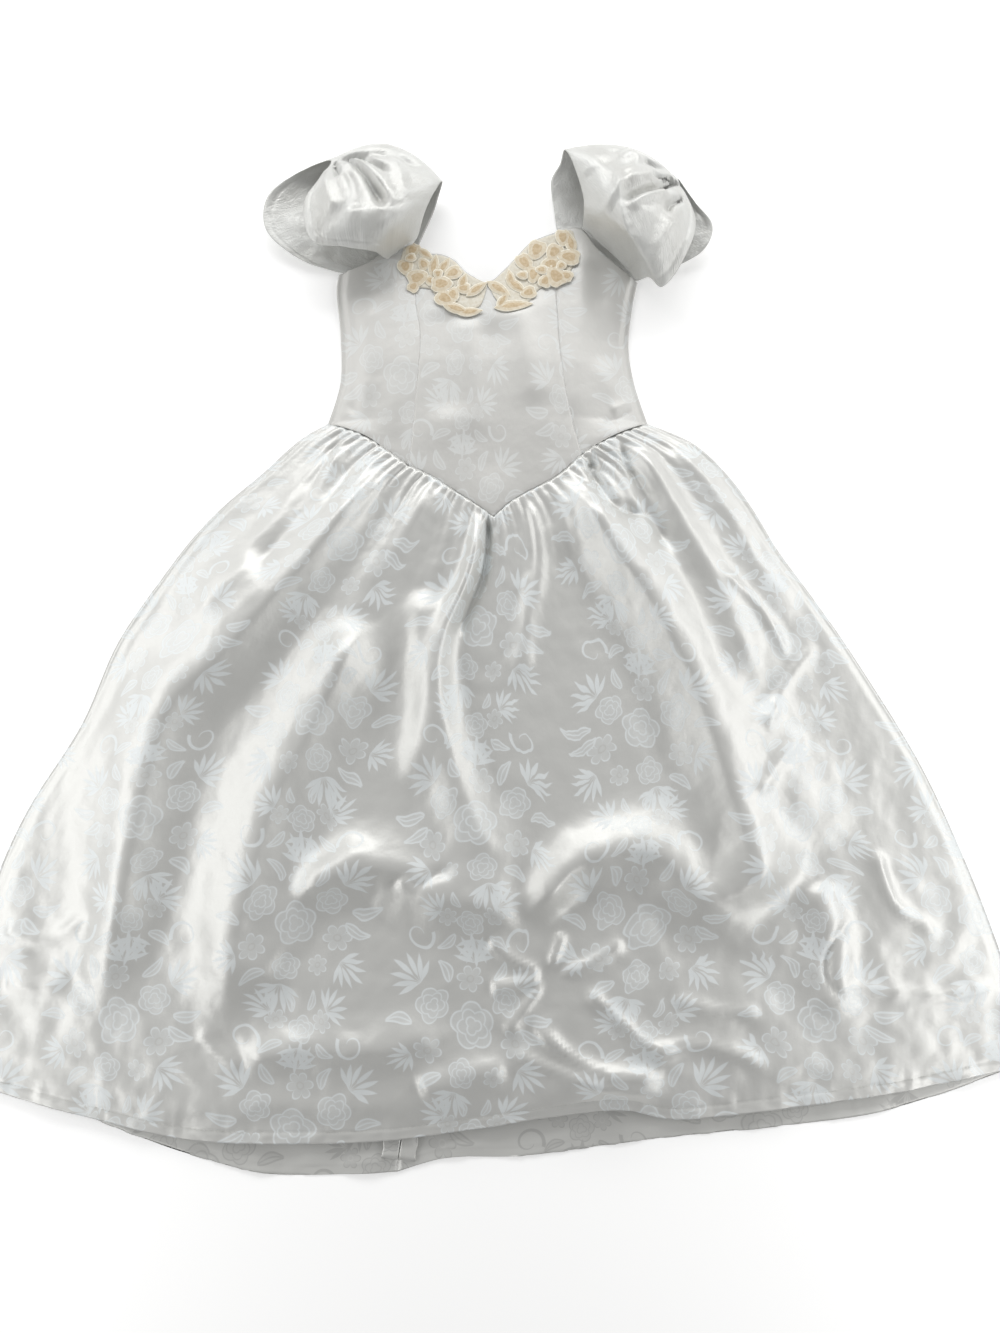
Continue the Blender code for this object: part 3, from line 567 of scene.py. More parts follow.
def makeSprayFigure():
    # a fan of narrow leaves about one point, opening along x
    tree, given, out = newGroup(
        "sprayFigure", [vectorIn, ("Leaves", floatIn, 7.0), ("Step", floatIn, 0.40)], [("Figure", floatIn)])
    radius, angle = polar(tree, given["Vector"])
    place = calc(tree, "DIVIDE", angle, given["Step"])
    nearest = calc(tree, "ROUND", place)
    offAngle = calc(tree, "MULTIPLY", calc(tree, "SUBTRACT", place, nearest), given["Step"])
    offset = calc(tree, "ABSOLUTE", calc(tree, "MULTIPLY", calc(tree, "SINE", offAngle), radius))
    reach = calc(tree, "MULTIPLY_ADD", calc(tree, "ABSOLUTE", nearest), 0.09, radius)
    along = calc(tree, "MULTIPLY_ADD", reach, 1.25, -0.25, clamp=True)
    half = calc(tree, "MULTIPLY", calc(tree, "SINE", calc(tree, "MULTIPLY", along, math.pi)), 0.085)
    stalk = calc(tree, "MULTIPLY", ramp(tree, radius, 0.35, 0.25), 0.022)
    blade = ramp(tree, calc(tree, "SUBTRACT", calc(tree, "MAXIMUM", half, stalk), offset), 0.0, 0.03)
    last = calc(tree, "MULTIPLY", given["Leaves"], 0.5)
    beforeLast = calc(tree, "MULTIPLY_ADD", given["Leaves"], 0.5, -0.4)
    within = ramp(tree, calc(tree, "ABSOLUTE", nearest), last, beforeLast)
    feed(tree, out["Figure"], calc(tree, "MULTIPLY", blade, within))
    return tree


def makeScrollFigure():
    # one turn of a ribbon-like scroll that widens as it opens
    tree, given, out = newGroup("scrollFigure", [vectorIn], [("Figure", floatIn)])
    radius, angle = polar(tree, given["Vector"])
    turn = calc(tree, "MULTIPLY_ADD", angle, 0.5 / math.pi, 0.5)
    track = calc(tree, "MULTIPLY_ADD", turn, 0.60, 0.28)
    half = calc(tree, "MULTIPLY_ADD", turn, 0.10, 0.035)
    away = calc(tree, "ABSOLUTE", calc(tree, "SUBTRACT", radius, track))
    feed(tree, out["Figure"], ramp(tree, calc(tree, "SUBTRACT", half, away), 0.0, 0.04))
    return tree


# One repeat of the woven figure, a large bunch and a small one: (kind, x, y, turn in degrees, size).
weavePlan = {
    "width": 0.215,
    "height": 0.250,
    "wander": 0.018,  # how far the weave drifts from its chart, and how often
    "wanderScale": 5.5,
    "spread": 0.86,  # how far the figures stand apart, and how large each is, as shares of the chart
    "size": 0.80,
    "bunch": (
        ("rose", 0.000, 0.004, 12, 0.034), ("rose", 0.056, 0.034, 70, 0.026),
        ("rose", -0.050, 0.036, 40, 0.024), ("rose", 0.016, -0.058, 95, 0.022),
        ("daisy", -0.060, -0.022, 0, 0.022), ("daisy", 0.064, -0.026, 20, 0.021),
        ("daisy", 0.006, 0.066, 10, 0.020), ("daisy", -0.030, -0.062, 33, 0.016),
        ("spray", -0.070, 0.058, 138, 0.052), ("spray", 0.074, 0.062, 38, 0.055),
        ("spray", 0.026, -0.082, -72, 0.052), ("spray", -0.064, -0.058, -142, 0.050),
        ("spray", 0.000, 0.088, 88, 0.050), ("spray", 0.086, -0.034, -20, 0.042),
        ("leaf", -0.078, 0.014, 172, 0.048), ("leaf", -0.070, -0.002, 205, 0.044),
        ("leaf", 0.084, 0.010, 8, 0.042), ("leaf", 0.034, 0.062, 62, 0.040),
        ("leaf", -0.030, 0.066, 118, 0.038), ("leaf", 0.046, -0.060, -35, 0.042),
    ),
    "posy": (
        ("rose", 0.000, 0.000, 30, 0.021), ("daisy", 0.034, 0.014, 0, 0.015),
        ("daisy", -0.032, 0.010, 25, 0.015), ("spray", 0.040, 0.026, 35, 0.044),
        ("spray", -0.040, 0.022, 150, 0.044), ("spray", 0.002, -0.024, -90, 0.046),
        ("scroll", 0.074, -0.020, 20, 0.026), ("scroll", -0.076, -0.018, 200, 0.026),
        ("leaf", 0.012, 0.024, 70, 0.034), ("leaf", -0.012, 0.024, 112, 0.030),
        ("leaf", 0.024, -0.018, -30, 0.036), ("leaf", -0.024, -0.018, 210, 0.036),
    ),
}


def makeJacquardFigure():
    # The repeat is laid in half-drop columns, and every second bunch is mirrored.
    figures = {
        "daisy": makeDaisyFigure(),
        "rose": makeRoseFigure(),
        "leaf": makeLeafFigure(),
        "spray": makeSprayFigure(),
        "scroll": makeScrollFigure(),
    }
    tree, given, out = newGroup("jacquardFigure", [vectorIn], [("Figure", floatIn)])
    drift = tree.nodes.new("ShaderNodeTexNoise")
    drift.inputs["Scale"].default_value = weavePlan["wanderScale"]
    drift.inputs["Detail"].default_value = 1.0
    feed(tree, drift.inputs["Vector"], given["Vector"])
    centred = tree.nodes.new("ShaderNodeVectorMath")
    centred.operation = "MULTIPLY_ADD"
    feed(tree, centred.inputs[0], drift.outputs["Color"])
    centred.inputs[1].default_value = (2 * weavePlan["wander"], 2 * weavePlan["wander"], 0.0)
    feed(tree, centred.inputs[2], given["Vector"])
    split = tree.nodes.new("ShaderNodeSeparateXYZ")
    feed(tree, split.inputs[0], centred.outputs[0])
    acrossPlace = calc(tree, "DIVIDE", split.outputs[0], weavePlan["width"])
    column = calc(tree, "ROUND", acrossPlace)
    odd = calc(tree, "FLOORED_MODULO", column, 2.0)
    localX = calc(tree, "MULTIPLY", calc(tree, "SUBTRACT", acrossPlace, column), weavePlan["width"])
    figure = None
    for name, offset in (("bunch", 0.0), ("posy", 0.5)):
        upright = calc(tree, "DIVIDE", split.outputs[1], weavePlan["height"])
        place = calc(tree, "ADD", calc(tree, "MULTIPLY_ADD", odd, 0.5, upright), offset)
        row = calc(tree, "ROUND", place)
        localY = calc(tree, "MULTIPLY", calc(tree, "SUBTRACT", place, row), weavePlan["height"])
        everySecond = calc(tree, "FLOORED_MODULO", calc(tree, "ADD", row, odd), 2.0)
        flip = calc(tree, "MULTIPLY_ADD", everySecond, -2.0, 1.0)
        local = tree.nodes.new("ShaderNodeCombineXYZ")
        feed(tree, local.inputs[0], calc(tree, "MULTIPLY", localX, flip))
        feed(tree, local.inputs[1], localY)
        for kind, x, y, degrees, size in weavePlan[name]:
            placed = tree.nodes.new("ShaderNodeMapping")
            placed.vector_type = "TEXTURE"
            feed(tree, placed.inputs["Vector"], local.outputs[0])
            spread = weavePlan["spread"]
            placed.inputs["Location"].default_value = (spread * x, spread * y, 0.0)
            placed.inputs["Rotation"].default_value = (0.0, 0.0, math.radians(degrees))
            placed.inputs["Scale"].default_value = [weavePlan["size"] * size] * 3
            drawn = useGroup(tree, figures[kind], Vector=placed.outputs[0])["Figure"]
            figure = drawn if figure is None else calc(tree, "MAXIMUM", figure, drawn)
    feed(tree, out["Figure"], figure)
    return tree


def makeCrinkle():
    # the small unevenness of pressed and handled satin, as a height
    tree, given, out = newGroup(
        "crinkle", [vectorIn, ("Soft", floatIn, 22.0), ("Fine", floatIn, 90.0)], [("Height", floatIn)])
    heights = []
    for name, detail, share in (("Soft", 3.0, 1.0), ("Fine", 2.0, 0.22)):
        cloud = tree.nodes.new("ShaderNodeTexNoise")
        feed(tree, cloud.inputs["Vector"], given["Vector"])
        feed(tree, cloud.inputs["Scale"], given[name])
        cloud.inputs["Detail"].default_value = detail
        heights.append(calc(tree, "MULTIPLY", cloud.outputs["Fac"], share))
    feed(tree, out["Height"], calc(tree, "ADD", heights[0], heights[1]))
    return tree


jacquardFigure = makeJacquardFigure()
crinkle = makeCrinkle()

# The ground of each satin and the figure woven on it, each with its colour, metallic and roughness.
satinLook = {
    "skirt": {"ground": ((0.68, 0.68, 0.655), 0.36, 0.41), "figure": ((0.755, 0.785, 0.785), 0.12, 0.47)},
    # the bodice's copy is the same satin with darker ground and figure colours: painted shade that keeps the
    # bodice from rendering as bright as the skirt
    "bodice": {"ground": ((0.62, 0.615, 0.59), 0.26, 0.47), "figure": ((0.675, 0.685, 0.67), 0.12, 0.52)},
    "inside": {"ground": ((0.66, 0.66, 0.635), 0.28, 0.44), "figure": ((0.56, 0.56, 0.54), 0.36, 0.40)},
    "bump": 0.0010,
}
plainSatinLook = {
    "colours": ((0.585, 0.585, 0.56), (0.65, 0.655, 0.635)),
    "metallic": 0.30,
    "roughness": (0.40, 0.50),
    "shade": (0.4, 0.8),  # the part of the crinkle's height over which colour and roughness change
    "crinkle": (14.0, 260.0),
    "bump": 0.003,
}
laceLook = {
    "colourShade": (0.35, 0.85),
    "roughness": (0.75, 0.55),
    "roughnessShade": (0.3, 0.9),
    "thread": (260.0, 1400.0),
    "bump": 0.00025,
}
tapeLook = {
    "colours": ((0.72, 0.72, 0.69), (0.82, 0.82, 0.79)),
    "roughness": (0.8, 0.6),
    "rib": 900.0,
    "bump": 0.0002,
}


def cutVector(tree):
    node = tree.nodes.new("ShaderNodeUVMap")
    node.uv_map = "cut"
    return node.outputs["UV"]


def addBump(tree, shader, height, distance):
    bump = tree.nodes.new("ShaderNodeBump")
    bump.inputs["Distance"].default_value = distance
    feed(tree, bump.inputs["Height"], height)
    feed(tree, shader.inputs["Normal"], bump.outputs["Normal"])


def makeJacquard(name, look):
    made, tree, shader = nodesOf(name)
    vector = cutVector(tree)
    groundColour, groundMetallic, groundRoughness = satinLook[look]["ground"]
    figureColour, figureMetallic, figureRoughness = satinLook[look]["figure"]
    figure = useGroup(tree, jacquardFigure, Vector=vector)["Figure"]
    feed(tree, shader.inputs["Base Color"], mixColour(tree, figure, groundColour, figureColour))
    feed(tree, shader.inputs["Metallic"], ramp(tree, figure, 0.0, 1.0, groundMetallic, figureMetallic))
    feed(tree, shader.inputs["Roughness"], ramp(tree, figure, 0.0, 1.0, groundRoughness, figureRoughness))
    addBump(tree, shader, useGroup(tree, crinkle, Vector=vector)["Height"], satinLook["bump"])
    return made


def makePlainSatin():
    made, tree, shader = nodesOf("plain_satin")
    soft, fine = plainSatinLook["crinkle"]
    shade = useGroup(tree, crinkle, Vector=cutVector(tree), Soft=soft, Fine=fine)["Height"]
    share = ramp(tree, shade, *plainSatinLook["shade"])
    feed(tree, shader.inputs["Base Color"], mixColour(tree, share, *plainSatinLook["colours"]))
    roughness = ramp(tree, shade, *plainSatinLook["shade"], *plainSatinLook["roughness"])
    feed(tree, shader.inputs["Roughness"], roughness)
    shader.inputs["Metallic"].default_value = plainSatinLook["metallic"]
    addBump(tree, shader, shade, plainSatinLook["bump"])
    return made


def makeLaceMaterial(name, low, high):
    made, tree, shader = nodesOf(name)
    place = tree.nodes.new("ShaderNodeTexCoord").outputs["Object"]
    soft, fine = laceLook["thread"]
    thread = useGroup(tree, crinkle, Vector=place, Soft=soft, Fine=fine)["Height"]
    share = ramp(tree, thread, *laceLook["colourShade"])
    feed(tree, shader.inputs["Base Color"], mixColour(tree, share, low, high))
    roughness = ramp(tree, thread, *laceLook["roughnessShade"], *laceLook["roughness"])
    feed(tree, shader.inputs["Roughness"], roughness)
    addBump(tree, shader, thread, laceLook["bump"])
    return made


def makeTape():
    made, tree, shader = nodesOf("zip_tape")
    wave = tree.nodes.new("ShaderNodeTexWave")
    wave.inputs["Scale"].default_value = tapeLook["rib"]
    feed(tree, wave.inputs["Vector"], tree.nodes.new("ShaderNodeTexCoord").outputs["Object"])
    rib = wave.outputs["Fac"]
    feed(tree, shader.inputs["Base Color"], mixColour(tree, rib, *tapeLook["colours"]))
    feed(tree, shader.inputs["Roughness"], ramp(tree, rib, 0.0, 1.0, *tapeLook["roughness"]))
    addBump(tree, shader, rib, tapeLook["bump"])
    return made


jacquard = makeJacquard("jacquard_satin", "skirt")
# the same jacquard with the bodice's darker colours, which are painted shade
jacquardBodiceShaded = makeJacquard("jacquard_satin_bodice_shaded", "bodice")
jacquardInside = makeJacquard("jacquard_satin_inside", "inside")
plainSatin = makePlainSatin()
netMaterial = makeLaceMaterial("lace_net", (0.66, 0.61, 0.50), (0.74, 0.71, 0.62))
petalMaterial = makeLaceMaterial("lace_petal", (0.50, 0.375, 0.225), (0.62, 0.50, 0.33))
sheerMaterial = makeLaceMaterial("lace_sheer", (0.62, 0.53, 0.39), (0.72, 0.65, 0.51))
cordMaterial = makeLaceMaterial("lace_cord", (0.78, 0.72, 0.58), (0.86, 0.83, 0.73))
threadMaterial = makeLaceMaterial("sewing_thread", (0.58, 0.58, 0.55), (0.72, 0.72, 0.69))
bpy.data.objects["back_zip"].material_slots[0].material = makeTape()
print("dress: materials made")


# How finely each sheet is divided. Some rows are kept for the hem, and lie in that share of the length.
grids = {
    "bodiceRows": 110,
    "sideColumns": 50,
    "centreColumns": 90,
    "skirtRows": 172,
    "skirtColumns": (58, 81, 81, 58),  # in the four stretches of the waist
    "frontHem": (0.018, 9),
    "backBodice": (60, 44),
    "backSkirt": (110, 88),
    "backHem": (0.016, 8),
}


def rowShares(rows, hemPart=0.0, hemRows=0):
    if not hemRows:
        return np.linspace(0.0, 1.0, rows + 1)
    body = np.linspace(0.0, 1.0 - hemPart, rows - hemRows + 1)
    return np.concatenate([body[:-1], np.linspace(1.0 - hemPart, 1.0, hemRows + 1)])


def waistLine(counts):
    # the waist in its four stretches: left side, left centre, right centre, right side
    cuts = (0,) + outline["waistCuts"] + (len(outline["waist"]) - 1,)
    return [
        smoothCurve(outline["waist"][first : last + 1], count)
        for first, last, count in zip(cuts, cuts[1:], counts)
    ]


def makeBodiceFront():
    rows, side, half = grids["bodiceRows"], grids["sideColumns"], grids["centreColumns"] // 2
    leftSide, leftCentre, rightCentre, rightSide = waistLine((side, half, half, side))
    seamLeft = smoothCurve(outline["princessLeft"], rows)
    seamRight = smoothCurve(outline["princessRight"], rows)
    sideLeft = smoothCurve(outline["sideLeft"][: outline["sideBreak"] + 1], rows)
    sideRight = smoothCurve(outline["sideRight"][: outline["sideBreak"] + 1], rows)
    armholeLeft = smoothCurve(outline["armholeLeft"], side)
    armholeRight = smoothCurve(outline["armholeRight"], side)
    neckline = smoothCurve(outline["neckline"], 2 * half)
    centreFoot = np.concatenate([leftCentre, rightCentre[1:]])
    # node, its top, foot, left and right edges, and where on the woven pattern it was cut
    panels = (
        ("bodice_side_front_left", armholeLeft, leftSide, sideLeft, seamLeft, (0.31, 0.05)),
        ("bodice_centre_front", neckline, centreFoot, seamLeft, seamRight, (0.03, 0.11)),
        ("bodice_side_front_right", armholeRight, rightSide, seamRight, sideRight, (0.17, 0.21)),
    )
    for node, top, foot, left, right, origin in panels:
        plan = patchOf(top, foot, left, right, rowShares(rows))
        places = heightened(plan, frontHeight(plan[..., 0], plan[..., 1]))
        sheet = clothSheet(node + "_cloth", places, cutAlong(places, origin), jacquardBodiceShaded)
        layCloth(node)


gathers = {
    "spacing": 0.0125,
    "deep": 0.0040,
    "reach": 0.085,
    "shortest": 0.03,
    "longest": 0.16,
    "fadeCurve": 1.4,
    # unevenness along the waist: (changes a metre, seed, how much)
    "wander": ((38.0, 3.1, 0.9), (9.0, 5.7, 1.6)),
    "wanderTurn": 2.2,
    "strength": ((55.0, 8.4, 0.55), (17.0, 2.2, 0.35)),
    "length": ((42.0, 11.9, 0.9),),
}


def unevenSum(place, layers):
    return sum(unevenAt(place * often, seed) * much for often, seed, much in layers)


def gatherLift(plan, waistRun):
    # Narrow pleats run down from the waist seam, each of its own length and depth, and thin out as they go.
    down = np.linalg.norm(plan - plan[0][None], axis=2)
    wander = unevenSum(waistRun, gathers["wander"])
    phase = 2 * math.pi * waistRun / gathers["spacing"] + wander * gathers["wanderTurn"]
    strength = np.clip(0.62 + unevenSum(waistRun, gathers["strength"]), 0.15, 1.5)
    reach = gathers["reach"] * (0.75 + unevenSum(waistRun, gathers["length"]))
    reach = np.clip(reach, gathers["shortest"], gathers["longest"])
    fade = np.exp(-((down / reach[None]) ** gathers["fadeCurve"])) * ease(down / 0.004 + 0.35)
    fold = 0.5 + 0.5 * np.cos(phase)[None] + 0.25 * np.cos(0.5 * phase + 0.8)[None]
    return gathers["deep"] * strength[None] * fold * fade


hem = {
    "width": 0.0125,
    "backWidth": 0.012,
    "lift": 0.0007,  # how much thicker the turned hem is
    "groove": 0.0009,  # how deep the stitching pulls in, and how wide
    "grooveReach": 0.0016,
    "pucker": 0.0022,
    "puckerReach": 0.014,
    "puckerSpacing": 0.017,
}
# What handling leaves in the skirt: heights, and for each how far below the waist it starts and over
# what distance it comes to its full height.
crumple = {
    "sideEase": 0.03,
    "wrinkle": 0.0026,
    "wrinkleFrom": (0.45, 0.25),
    "swell": 0.0016,
    "ripple": 0.0011,
    "rippleFrom": (-0.02, 0.10),
    "crease": 0.0030,
    "creaseFrom": (0.60, 0.18),
}


def belowWaist(y, reach):
    start, over = reach
    return ease((-y - start) / over)


def crumpled(height, x, y, inside):
    wrinkle = 1.0 - np.abs(cloudAt(x * 0.8 + 0.35 * y, y, 11.0, 4.2)) * 2.0
    wrinkle = crumple["wrinkle"] * wrinkle * belowWaist(y, crumple["wrinkleFrom"])
    swell = crumple["swell"] * cloudAt(x * 1.2, y * 0.7, 9.0, 1.4)
    ripple = crumple["ripple"] * cloudAt(x, y, 34.0, 5.3) * belowWaist(y, crumple["rippleFrom"])
    creases = np.minimum(np.abs(cloudAt(x * 0.7 - 0.4 * y, y * 1.3 + 0.2 * x, 24.0, 12.6)), 0.35)
    creases = crumple["crease"] * creases * belowWaist(y, crumple["creaseFrom"])
    return height + (wrinkle + swell + ripple - creases) * inside


def hemLift(plan, foot):
    # the turned band, the groove that its stitching makes, and small puckers along it
    fromHem = np.linalg.norm(plan - foot[None], axis=2)
    off = fromHem - hem["width"]
    groove = np.exp(-((off / hem["grooveReach"]) ** 2))
    band = ease((hem["width"] + 0.001 - fromHem) / 0.002)
    uneven = unevenAt(runAlong(foot) / hem["puckerSpacing"] * 2.0, 6.6)[None]
    pucker = np.abs(uneven * np.exp(-((off / hem["puckerReach"]) ** 2)))
    return hem["lift"] * band - hem["groove"] * groove + hem["pucker"] * pucker


def makeSkirtFront():
    stretches = waistLine(grids["skirtColumns"])
    top = np.concatenate([stretches[0]] + [stretch[1:] for stretch in stretches[1:]])
    foot = smoothCurve(outline["frontHem"], sum(grids["skirtColumns"]))
    shares = rowShares(grids["skirtRows"], *grids["frontHem"])
    left = smoothCurve(outline["sideLeft"][outline["sideBreak"] :], shares)
    right = smoothCurve(outline["sideRight"][outline["sideBreak"] :], shares)
    plan = patchOf(top, foot, left, right, shares)
    x, y = plan[..., 0], plan[..., 1]
    fromSide = np.minimum(x - atHeight(outline["sideLeft"], y), atHeight(outline["sideRight"], y) - x)
    inside = ease(fromSide / crumple["sideEase"])
    height = frontHeight(x, y, skirt=True) + gatherLift(plan, runAlong(top)) * inside
    height = crumpled(height, x, y, inside) + hemLift(plan, foot) * inside
    places = heightened(plan, np.maximum(height, restHeight))
    sheet = clothSheet("skirt_front_cloth", places, cutAlong(places), jacquard)
    layCloth("skirt_front")
    return places


makeBodiceFront()
skirtPlaces = makeSkirtFront()
print("dress: front panels made")


backPanels = {
    "sideTuck": 0.0015,  # how far the skirt's back lies inside its front at the sides
    "wave": 0.0034,
    "waveEase": 0.02,
    "stitchRise": 0.0006,
}


def backHeight(x, y):
    # the skirt's back lies flat under the front and waves a little where it shows below the front hem
    shows = acrossAt(outline["frontHem"], x) - y
    wave = np.clip(cloudAt(x, y, 20.0, 7.7) + 0.35, 0.0, 1.0)
    return backPanels["wave"] * wave * ease(shows / backPanels["waveEase"])


def straightLine(start, end, steps):
    along = np.linspace(0.0, 1.0, steps + 1)[:, None]
    return start * (1 - along) + end * along


def makeBacks():
    # The panels lie face down, so their wrong side shows.
    breakAt = outline["sideBreak"]
    rows, columns = grids["backBodice"]
    flat = rowShares(rows)
    middle = np.array([(0.0, outline["backTopLeft"][-1][1]), (0.0, 0.0)])
    centre = middle[0] + (middle[1] - middle[0]) * flat[:, None]
    leftSide = smoothCurve(outline["sideLeft"][: breakAt + 1], rows)
    rightSide = smoothCurve(outline["sideRight"][: breakAt + 1], rows)
    topLeft = smoothCurve(outline["backTopLeft"], columns)
    topRight = smoothCurve(outline["backTopRight"], columns)
    waistLeft = straightLine(leftSide[-1], middle[1], columns)
    waistRight = straightLine(middle[1], rightSide[-1], columns)
    skirtRows, skirtColumns = grids["backSkirt"]
    shares = rowShares(skirtRows, *grids["backHem"])
    seam = smoothCurve(outline["centreBack"], shares)
    skirtLeft = smoothCurve(outline["sideLeft"][breakAt:], shares) + (backPanels["sideTuck"], 0.0)
    skirtRight = smoothCurve(outline["sideRight"][breakAt:], shares) - (backPanels["sideTuck"], 0.0)
    skirtTopLeft = straightLine(skirtLeft[0], seam[0], skirtColumns)
    skirtTopRight = straightLine(seam[0], skirtRight[0], skirtColumns)
    hemLeft = smoothCurve(outline["backHemLeft"], skirtColumns)
    hemRight = smoothCurve(outline["backHemRight"], skirtColumns)
    skirtLeft[-1], skirtRight[-1] = hemLeft[0], hemRight[-1]
    # node, its top, foot, left and right edges, its rows, and where on the woven pattern it was cut
    panels = (
        ("bodice_back_left", topLeft, waistLeft, leftSide, centre, flat, (0.4, 0.2)),
        ("bodice_back_right", topRight, waistRight, centre, rightSide, flat, (0.6, 0.3)),
        ("skirt_back_left", skirtTopLeft, hemLeft, skirtLeft, seam, shares, (0.11, 0.04)),
        ("skirt_back_right", skirtTopRight, hemRight, seam, skirtRight, shares, (0.52, 0.12)),
    )
    for node, top, foot, left, right, down, origin in panels:
        plan = patchOf(top, foot, left, right, down)
        height = np.zeros(plan.shape[:2])
        if node.startswith("skirt"):
            fromHem = np.linalg.norm(plan - foot[None], axis=2)
            fromFront = acrossAt(outline["frontHem"], plan[..., 0]) - plan[..., 1]
            stitched = np.exp(-(((fromHem - hem["width"]) / 0.002) ** 2)) * ease(fromFront / 0.01)
            height = backHeight(plan[..., 0], plan[..., 1]) + backPanels["stitchRise"] * stitched
        places = heightened(plan, height)
        sheet = clothSheet(node + "_cloth", places, cutAlong(places, origin), jacquardInside, turned=True)
        layCloth(node)


seamAllowance = {
    "width": 0.020,
    "wall": 0.0005,
    "span": (0.62, 0.985),  # the shares of the centre-back seam's length between which it is modelled
    "rows": 60,
    "columns": 8,
    "fromSeam": 0.0006,
    "clear": 0.0022,
    "fray": 0.0008,
    "curl": 0.0022,
}


def makeSeamAllowances():
    # the two raw edges of the centre-back seam, pressed open on the wrong side
    rows, width = seamAllowance["rows"], seamAllowance["width"]
    seam = smoothCurve(outline["centreBack"], np.linspace(*seamAllowance["span"], rows + 1))
    run = np.gradient(seam, axis=0)
    outwards = np.stack([-run[:, 1], run[:, 0]], axis=1) / np.linalg.norm(run, axis=1)[:, None]
    for hand, side in (("left", -1.0), ("right", 1.0)):
        away = np.linspace(seamAllowance["fromSeam"], width, seamAllowance["columns"] + 1) * side
        outer = np.abs(away) / width
        fray = seamAllowance["fray"] * np.sin(np.arange(rows + 1) * 1.7) * side
        off = away[None] + fray[:, None] * outer[None]
        plan = seam[:, None] + outwards[:, None] * off[..., None]
        if side < 0:
            plan = plan[:, ::-1]
        x, y = plan[..., 0], plan[..., 1]
        curl = seamAllowance["curl"] * outer**2 * (1.0 + 0.6 * np.sin(y[:, :1] * 90.0))
        height = backHeight(x, y) + seamAllowance["clear"] + (curl if side > 0 else curl[:, ::-1])
        places = heightened(plan, height)
        cut = cutAlong(places, (0.3, 0.2))
        sheet = clothSheet("seam_allowance_" + hand, places, cut, jacquardInside, seamAllowance["wall"])
        layCloth("skirt_back_" + hand)


makeBacks()
makeSeamAllowances()
print("dress: back panels made")

stitching = {
    "pitch": 0.0042,
    "size": (0.0026, 0.0005, 0.0004),
    "rise": 0.0001,  # how far a stitch's middle stands above the cloth
}


def makeStitches(name, line, heightOf, node):
    # one row of sewn stitches that follows a line in plan
    count = int(runAlong(smoothCurve(line, 200))[-1] / stitching["pitch"])
    places = smoothCurve(line, count)
    heights = heightOf(places[:, 0], places[:, 1])
    bm = bmesh.new()
    for index in range(count):
        start = Vector((*places[index], heights[index]))
        end = Vector((*places[index + 1], heights[index + 1]))
        turned = (end - start).to_track_quat("X", "Z").to_matrix()
        made = bmesh.ops.create_cube(bm, size=1.0)["verts"]
        bmesh.ops.scale(bm, verts=made, vec=stitching["size"])
        bmesh.ops.rotate(bm, verts=made, cent=(0, 0, 0), matrix=turned)
        middle = (start + end) / 2 + Vector((*planShift, stitching["rise"]))
        bmesh.ops.translate(bm, verts=made, vec=middle)
    shape = bpy.data.meshes.new(name)
    bm.to_mesh(shape)
    bm.free()
    shape.materials.append(threadMaterial)
    row = bpy.data.objects.new(name, shape)
    bpy.context.scene.collection.objects.link(row)
    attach(row, "root")
    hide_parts(node)


def onSkirtFront(x, y):
    # height of the finished skirt front's outer side, read from the sheet's own points
    points = skirtPlaces.reshape(-1, 3)
    found = []
    for a, b in zip(x, y):
        nearest = np.argmin((points[:, 0] - a) ** 2 + (points[:, 1] - b) ** 2)
        found.append(points[nearest, 2] + clothFinish["wall"])
    return np.array(found)


def onSkirtBack(x, y):
    return backHeight(x[None], y[None])[0] + clothFinish["wall"]


def shiftedLine(line, up):
    return [(x, y + up) for x, y in line]


frontStitchLine = shiftedLine(outline["frontHem"][1:-1], hem["width"])
backStitchLeft = shiftedLine(outline["backHemLeft"][1:], hem["backWidth"])
backStitchRight = shiftedLine(outline["backHemRight"][:-1], hem["backWidth"])
makeStitches("front_hem_stitches", frontStitchLine, onSkirtFront, "skirt_front")
makeStitches("back_hem_stitches_left", backStitchLeft, onSkirtBack, "skirt_back_left")
makeStitches("back_hem_stitches_right", backStitchRight, onSkirtBack, "skirt_back_right")
print("dress: stitches made")


